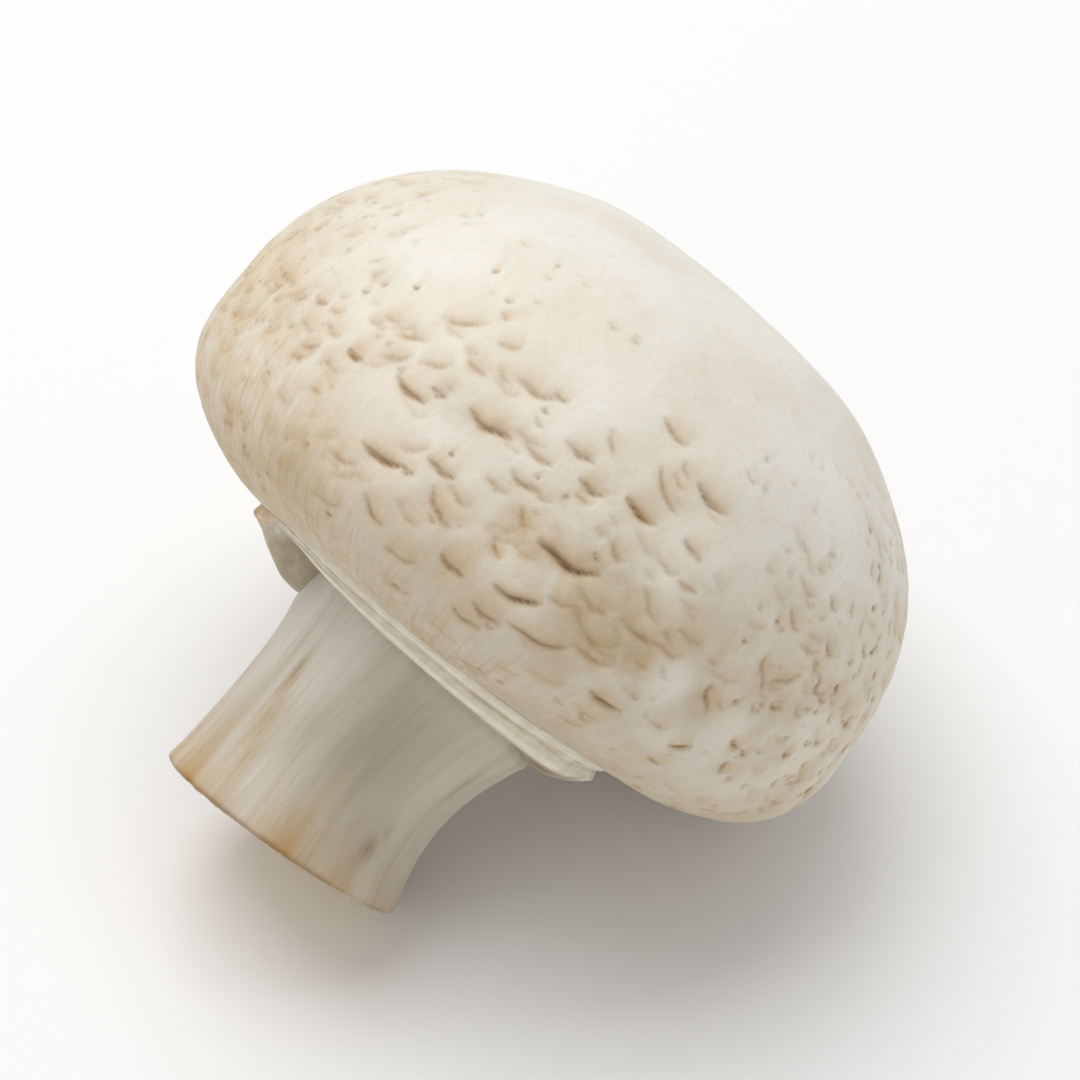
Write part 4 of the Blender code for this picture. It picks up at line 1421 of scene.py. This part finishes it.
class MUSHROOM_OT_veil(bpy.types.Operator):
    """Build the torn veil round the top of the stem"""

    bl_idname = "mushroom.veil"
    bl_label = "Veil"

    def execute(self, context):
        shape, look = context.scene.mushroom_shape, context.scene.mushroom_veil
        outline = spline(COLLAR_OUTLINE, 12)
        steps = np.arange(0.0, walked(outline)[-1], VEIL_ROW)
        profile = read_at(outline, steps)
        azimuth = even_azimuths(VEIL_SEGMENTS)
        side = facing(azimuth)[None, :]
        points = upright(profile, azimuth)
        radius, height = profile[:, 0][:, None], profile[:, 1][:, None]

        showing = smooth_step(1.1 * MM, 0.75 * MM, height) * smooth_step(8.9 * MM, 9.6 * MM, radius)
        wander = 0.05 * MM * np.sin(3.0 * azimuth + 0.4) + 0.04 * MM * np.sin(7.0 * azimuth + 2.0)
        groove = wander[None, :] - VEIL_LINE_SLANT * side
        ridge = sum(rise * bump_at(height, level + groove, wide) for level, rise, wide in VEIL_RIDGES)
        nicks = lattice_noise(points, 0.55 * MM, 31) + 0.8 * lattice_noise(points, 1.7 * MM, 32)
        push = showing * (ridge + 0.015 * MM * nicks)
        points += upright(outward_of(profile), azimuth) * push[..., None]
        out, up = veil_draw(azimuth, radius, height)
        points += upright_shift(out, up, azimuth)
        points[..., :2] *= slimmer(azimuth)[:, None]

        faces = ring_quads(len(profile), VEIL_SEGMENTS, looped=True)
        masks = veil_masks(profile, steps, azimuth, groove)
        placed = Placing(context).lay(points.reshape(-1, 3))
        declare(make_piece("veil_collar", placed, faces, veil_material(look), masks))
        rows = np.nonzero((showing[:, 0] > 0.5) & (height[:, 0] > -0.95 * MM))[0]
        grow_strands(
            "veil_strands", placed.reshape(points.shape), (rows[0], rows[-1]), look.strands,
            (8, 60), look.strand_width, 5, wool_material("veil strands", look.band),
        )
        return {"FINISHED"}


class MUSHROOM_OT_stem(bpy.types.Operator):
    """Build the stem with its long fibres and its stained cut"""

    bl_idname = "mushroom.stem"
    bl_label = "Stem"

    def execute(self, context):
        shape, look = context.scene.mushroom_shape, context.scene.mushroom_stem
        outline = stem_outline(shape)
        steps = np.arange(0.0, walked(outline)[-1] - 0.1 * MM, STEM_ROW)
        profile = read_at(outline, steps)
        azimuth = even_azimuths(STEM_SEGMENTS)
        grid = shaped_stem(shape, profile, azimuth, look.fibre_depth)
        faces = ring_quads(len(grid), STEM_SEGMENTS)
        top = (0.0, 0.0, STEM_ROOT)
        bottom = (0.0, 0.0, float(grid[-1, :, 2].mean()))
        placed = Placing(context).lay(add_fans(grid, faces, top, bottom))
        masks = stem_masks(shape, profile, azimuth)
        declare(make_piece("stem", placed, faces, stem_material(look), masks))
        return {"FINISHED"}


class MUSHROOM_OT_stage(bpy.types.Operator):
    """Set the pale floor, the soft lights and the camera"""

    bl_idname = "mushroom.stage"
    bl_label = "Stage"

    def execute(self, context):
        look = context.scene.mushroom_stage
        self.add_floor(context, look)
        self.add_lights(context, look)
        self.add_camera(context, look)
        return {"FINISHED"}

    def add_floor(self, context, look):
        bpy.ops.mesh.primitive_plane_add(size=look.floor_size)
        floor = context.object
        floor.name = "floor"
        material = bpy.data.materials.new("floor")
        material.use_nodes = True
        shader = material.node_tree.nodes["Principled BSDF"]
        shader.inputs["Base Color"].default_value = full(look.floor_colour)
        shader.inputs["Roughness"].default_value = 0.9
        shader.inputs["Specular IOR Level"].default_value = 0.1
        floor.data.materials.append(material)

    def add_lights(self, context, look):
        world = bpy.data.worlds.new("studio")
        world.use_nodes = True
        sky = world.node_tree.nodes["Background"]
        sky.inputs["Color"].default_value = (1.0, 1.0, 1.0, 1.0)
        sky.inputs["Strength"].default_value = look.sky
        context.scene.world = world
        low, high = (Vector(corner) for corner in CAD_BOX)
        middle = (low + high) / 2.0
        for name, offset, size, power in (
            ("key", (0.06, 0.24, 0.85), 0.80, look.key_power),
            ("fill", (-0.75, -0.10, 0.45), 0.60, 0.06 * look.key_power),
        ):
            light = bpy.data.lights.new(name, "AREA")
            light.shape = "SQUARE"
            light.size = size
            light.energy = power
            lamp = bpy.data.objects.new(name, light)
            lamp.location = middle + Vector(offset)
            lamp.rotation_euler = Vector(offset).to_track_quat("Z", "Y").to_euler()
            context.scene.collection.objects.link(lamp)

    def add_camera(self, context, look):
        camera = bpy.data.cameras.new("camera")
        camera.lens = camera.sensor_width * look.view_distance / look.view_width
        eye = bpy.data.objects.new("camera", camera)
        around, above = look.view_azimuth, look.view_elevation
        back = Vector((
            math.sin(around) * math.cos(above), -math.cos(around) * math.cos(above),
            math.sin(above),
        ))
        low, high = (Vector(corner) for corner in CAD_BOX)
        across = Vector((math.cos(around), math.sin(around), 0.0))
        middle = (low + high) / 2.0 + across * AIM[0] + back.cross(across) * AIM[1]
        eye.location = middle + back * look.view_distance
        eye.rotation_euler = back.to_track_quat("Z", "Y").to_euler()
        context.scene.collection.objects.link(eye)
        context.scene.camera = eye
        context.scene.view_settings.view_transform = "Standard"


class MUSHROOM_PT_panel(bpy.types.Panel):
    """Lists the mushroom's pieces in the sidebar"""

    bl_label = "Button Mushroom"
    bl_idname = "MUSHROOM_PT_panel"
    bl_space_type = "VIEW_3D"
    bl_region_type = "UI"
    bl_category = "Mushroom"

    def draw(self, context):
        for operator in OPERATORS:
            self.layout.operator(operator.bl_idname)


GROUPS = {
    "mushroom_shape": MushroomShape,
    "mushroom_skin": SkinLook,
    "mushroom_veil": VeilLook,
    "mushroom_stem": StemLook,
    "mushroom_stage": StageLook,
}
OPERATORS = (
    MUSHROOM_OT_cap,
    MUSHROOM_OT_veil,
    MUSHROOM_OT_stem,
    MUSHROOM_OT_stage,
)


def register():
    for group in (*GROUPS.values(), *OPERATORS, MUSHROOM_PT_panel):
        bpy.utils.register_class(group)
    for name, group in GROUPS.items():
        setattr(bpy.types.Scene, name, PointerProperty(type=group))


def unregister():
    for name in GROUPS:
        delattr(bpy.types.Scene, name)
    for group in reversed((*GROUPS.values(), *OPERATORS, MUSHROOM_PT_panel)):
        bpy.utils.unregister_class(group)


def main():
    register()
    bpy.ops.mushroom.cap()
    bpy.ops.mushroom.veil()
    bpy.ops.mushroom.stem()
    bpy.ops.mushroom.stage()


if __name__ == "__main__":
    main()
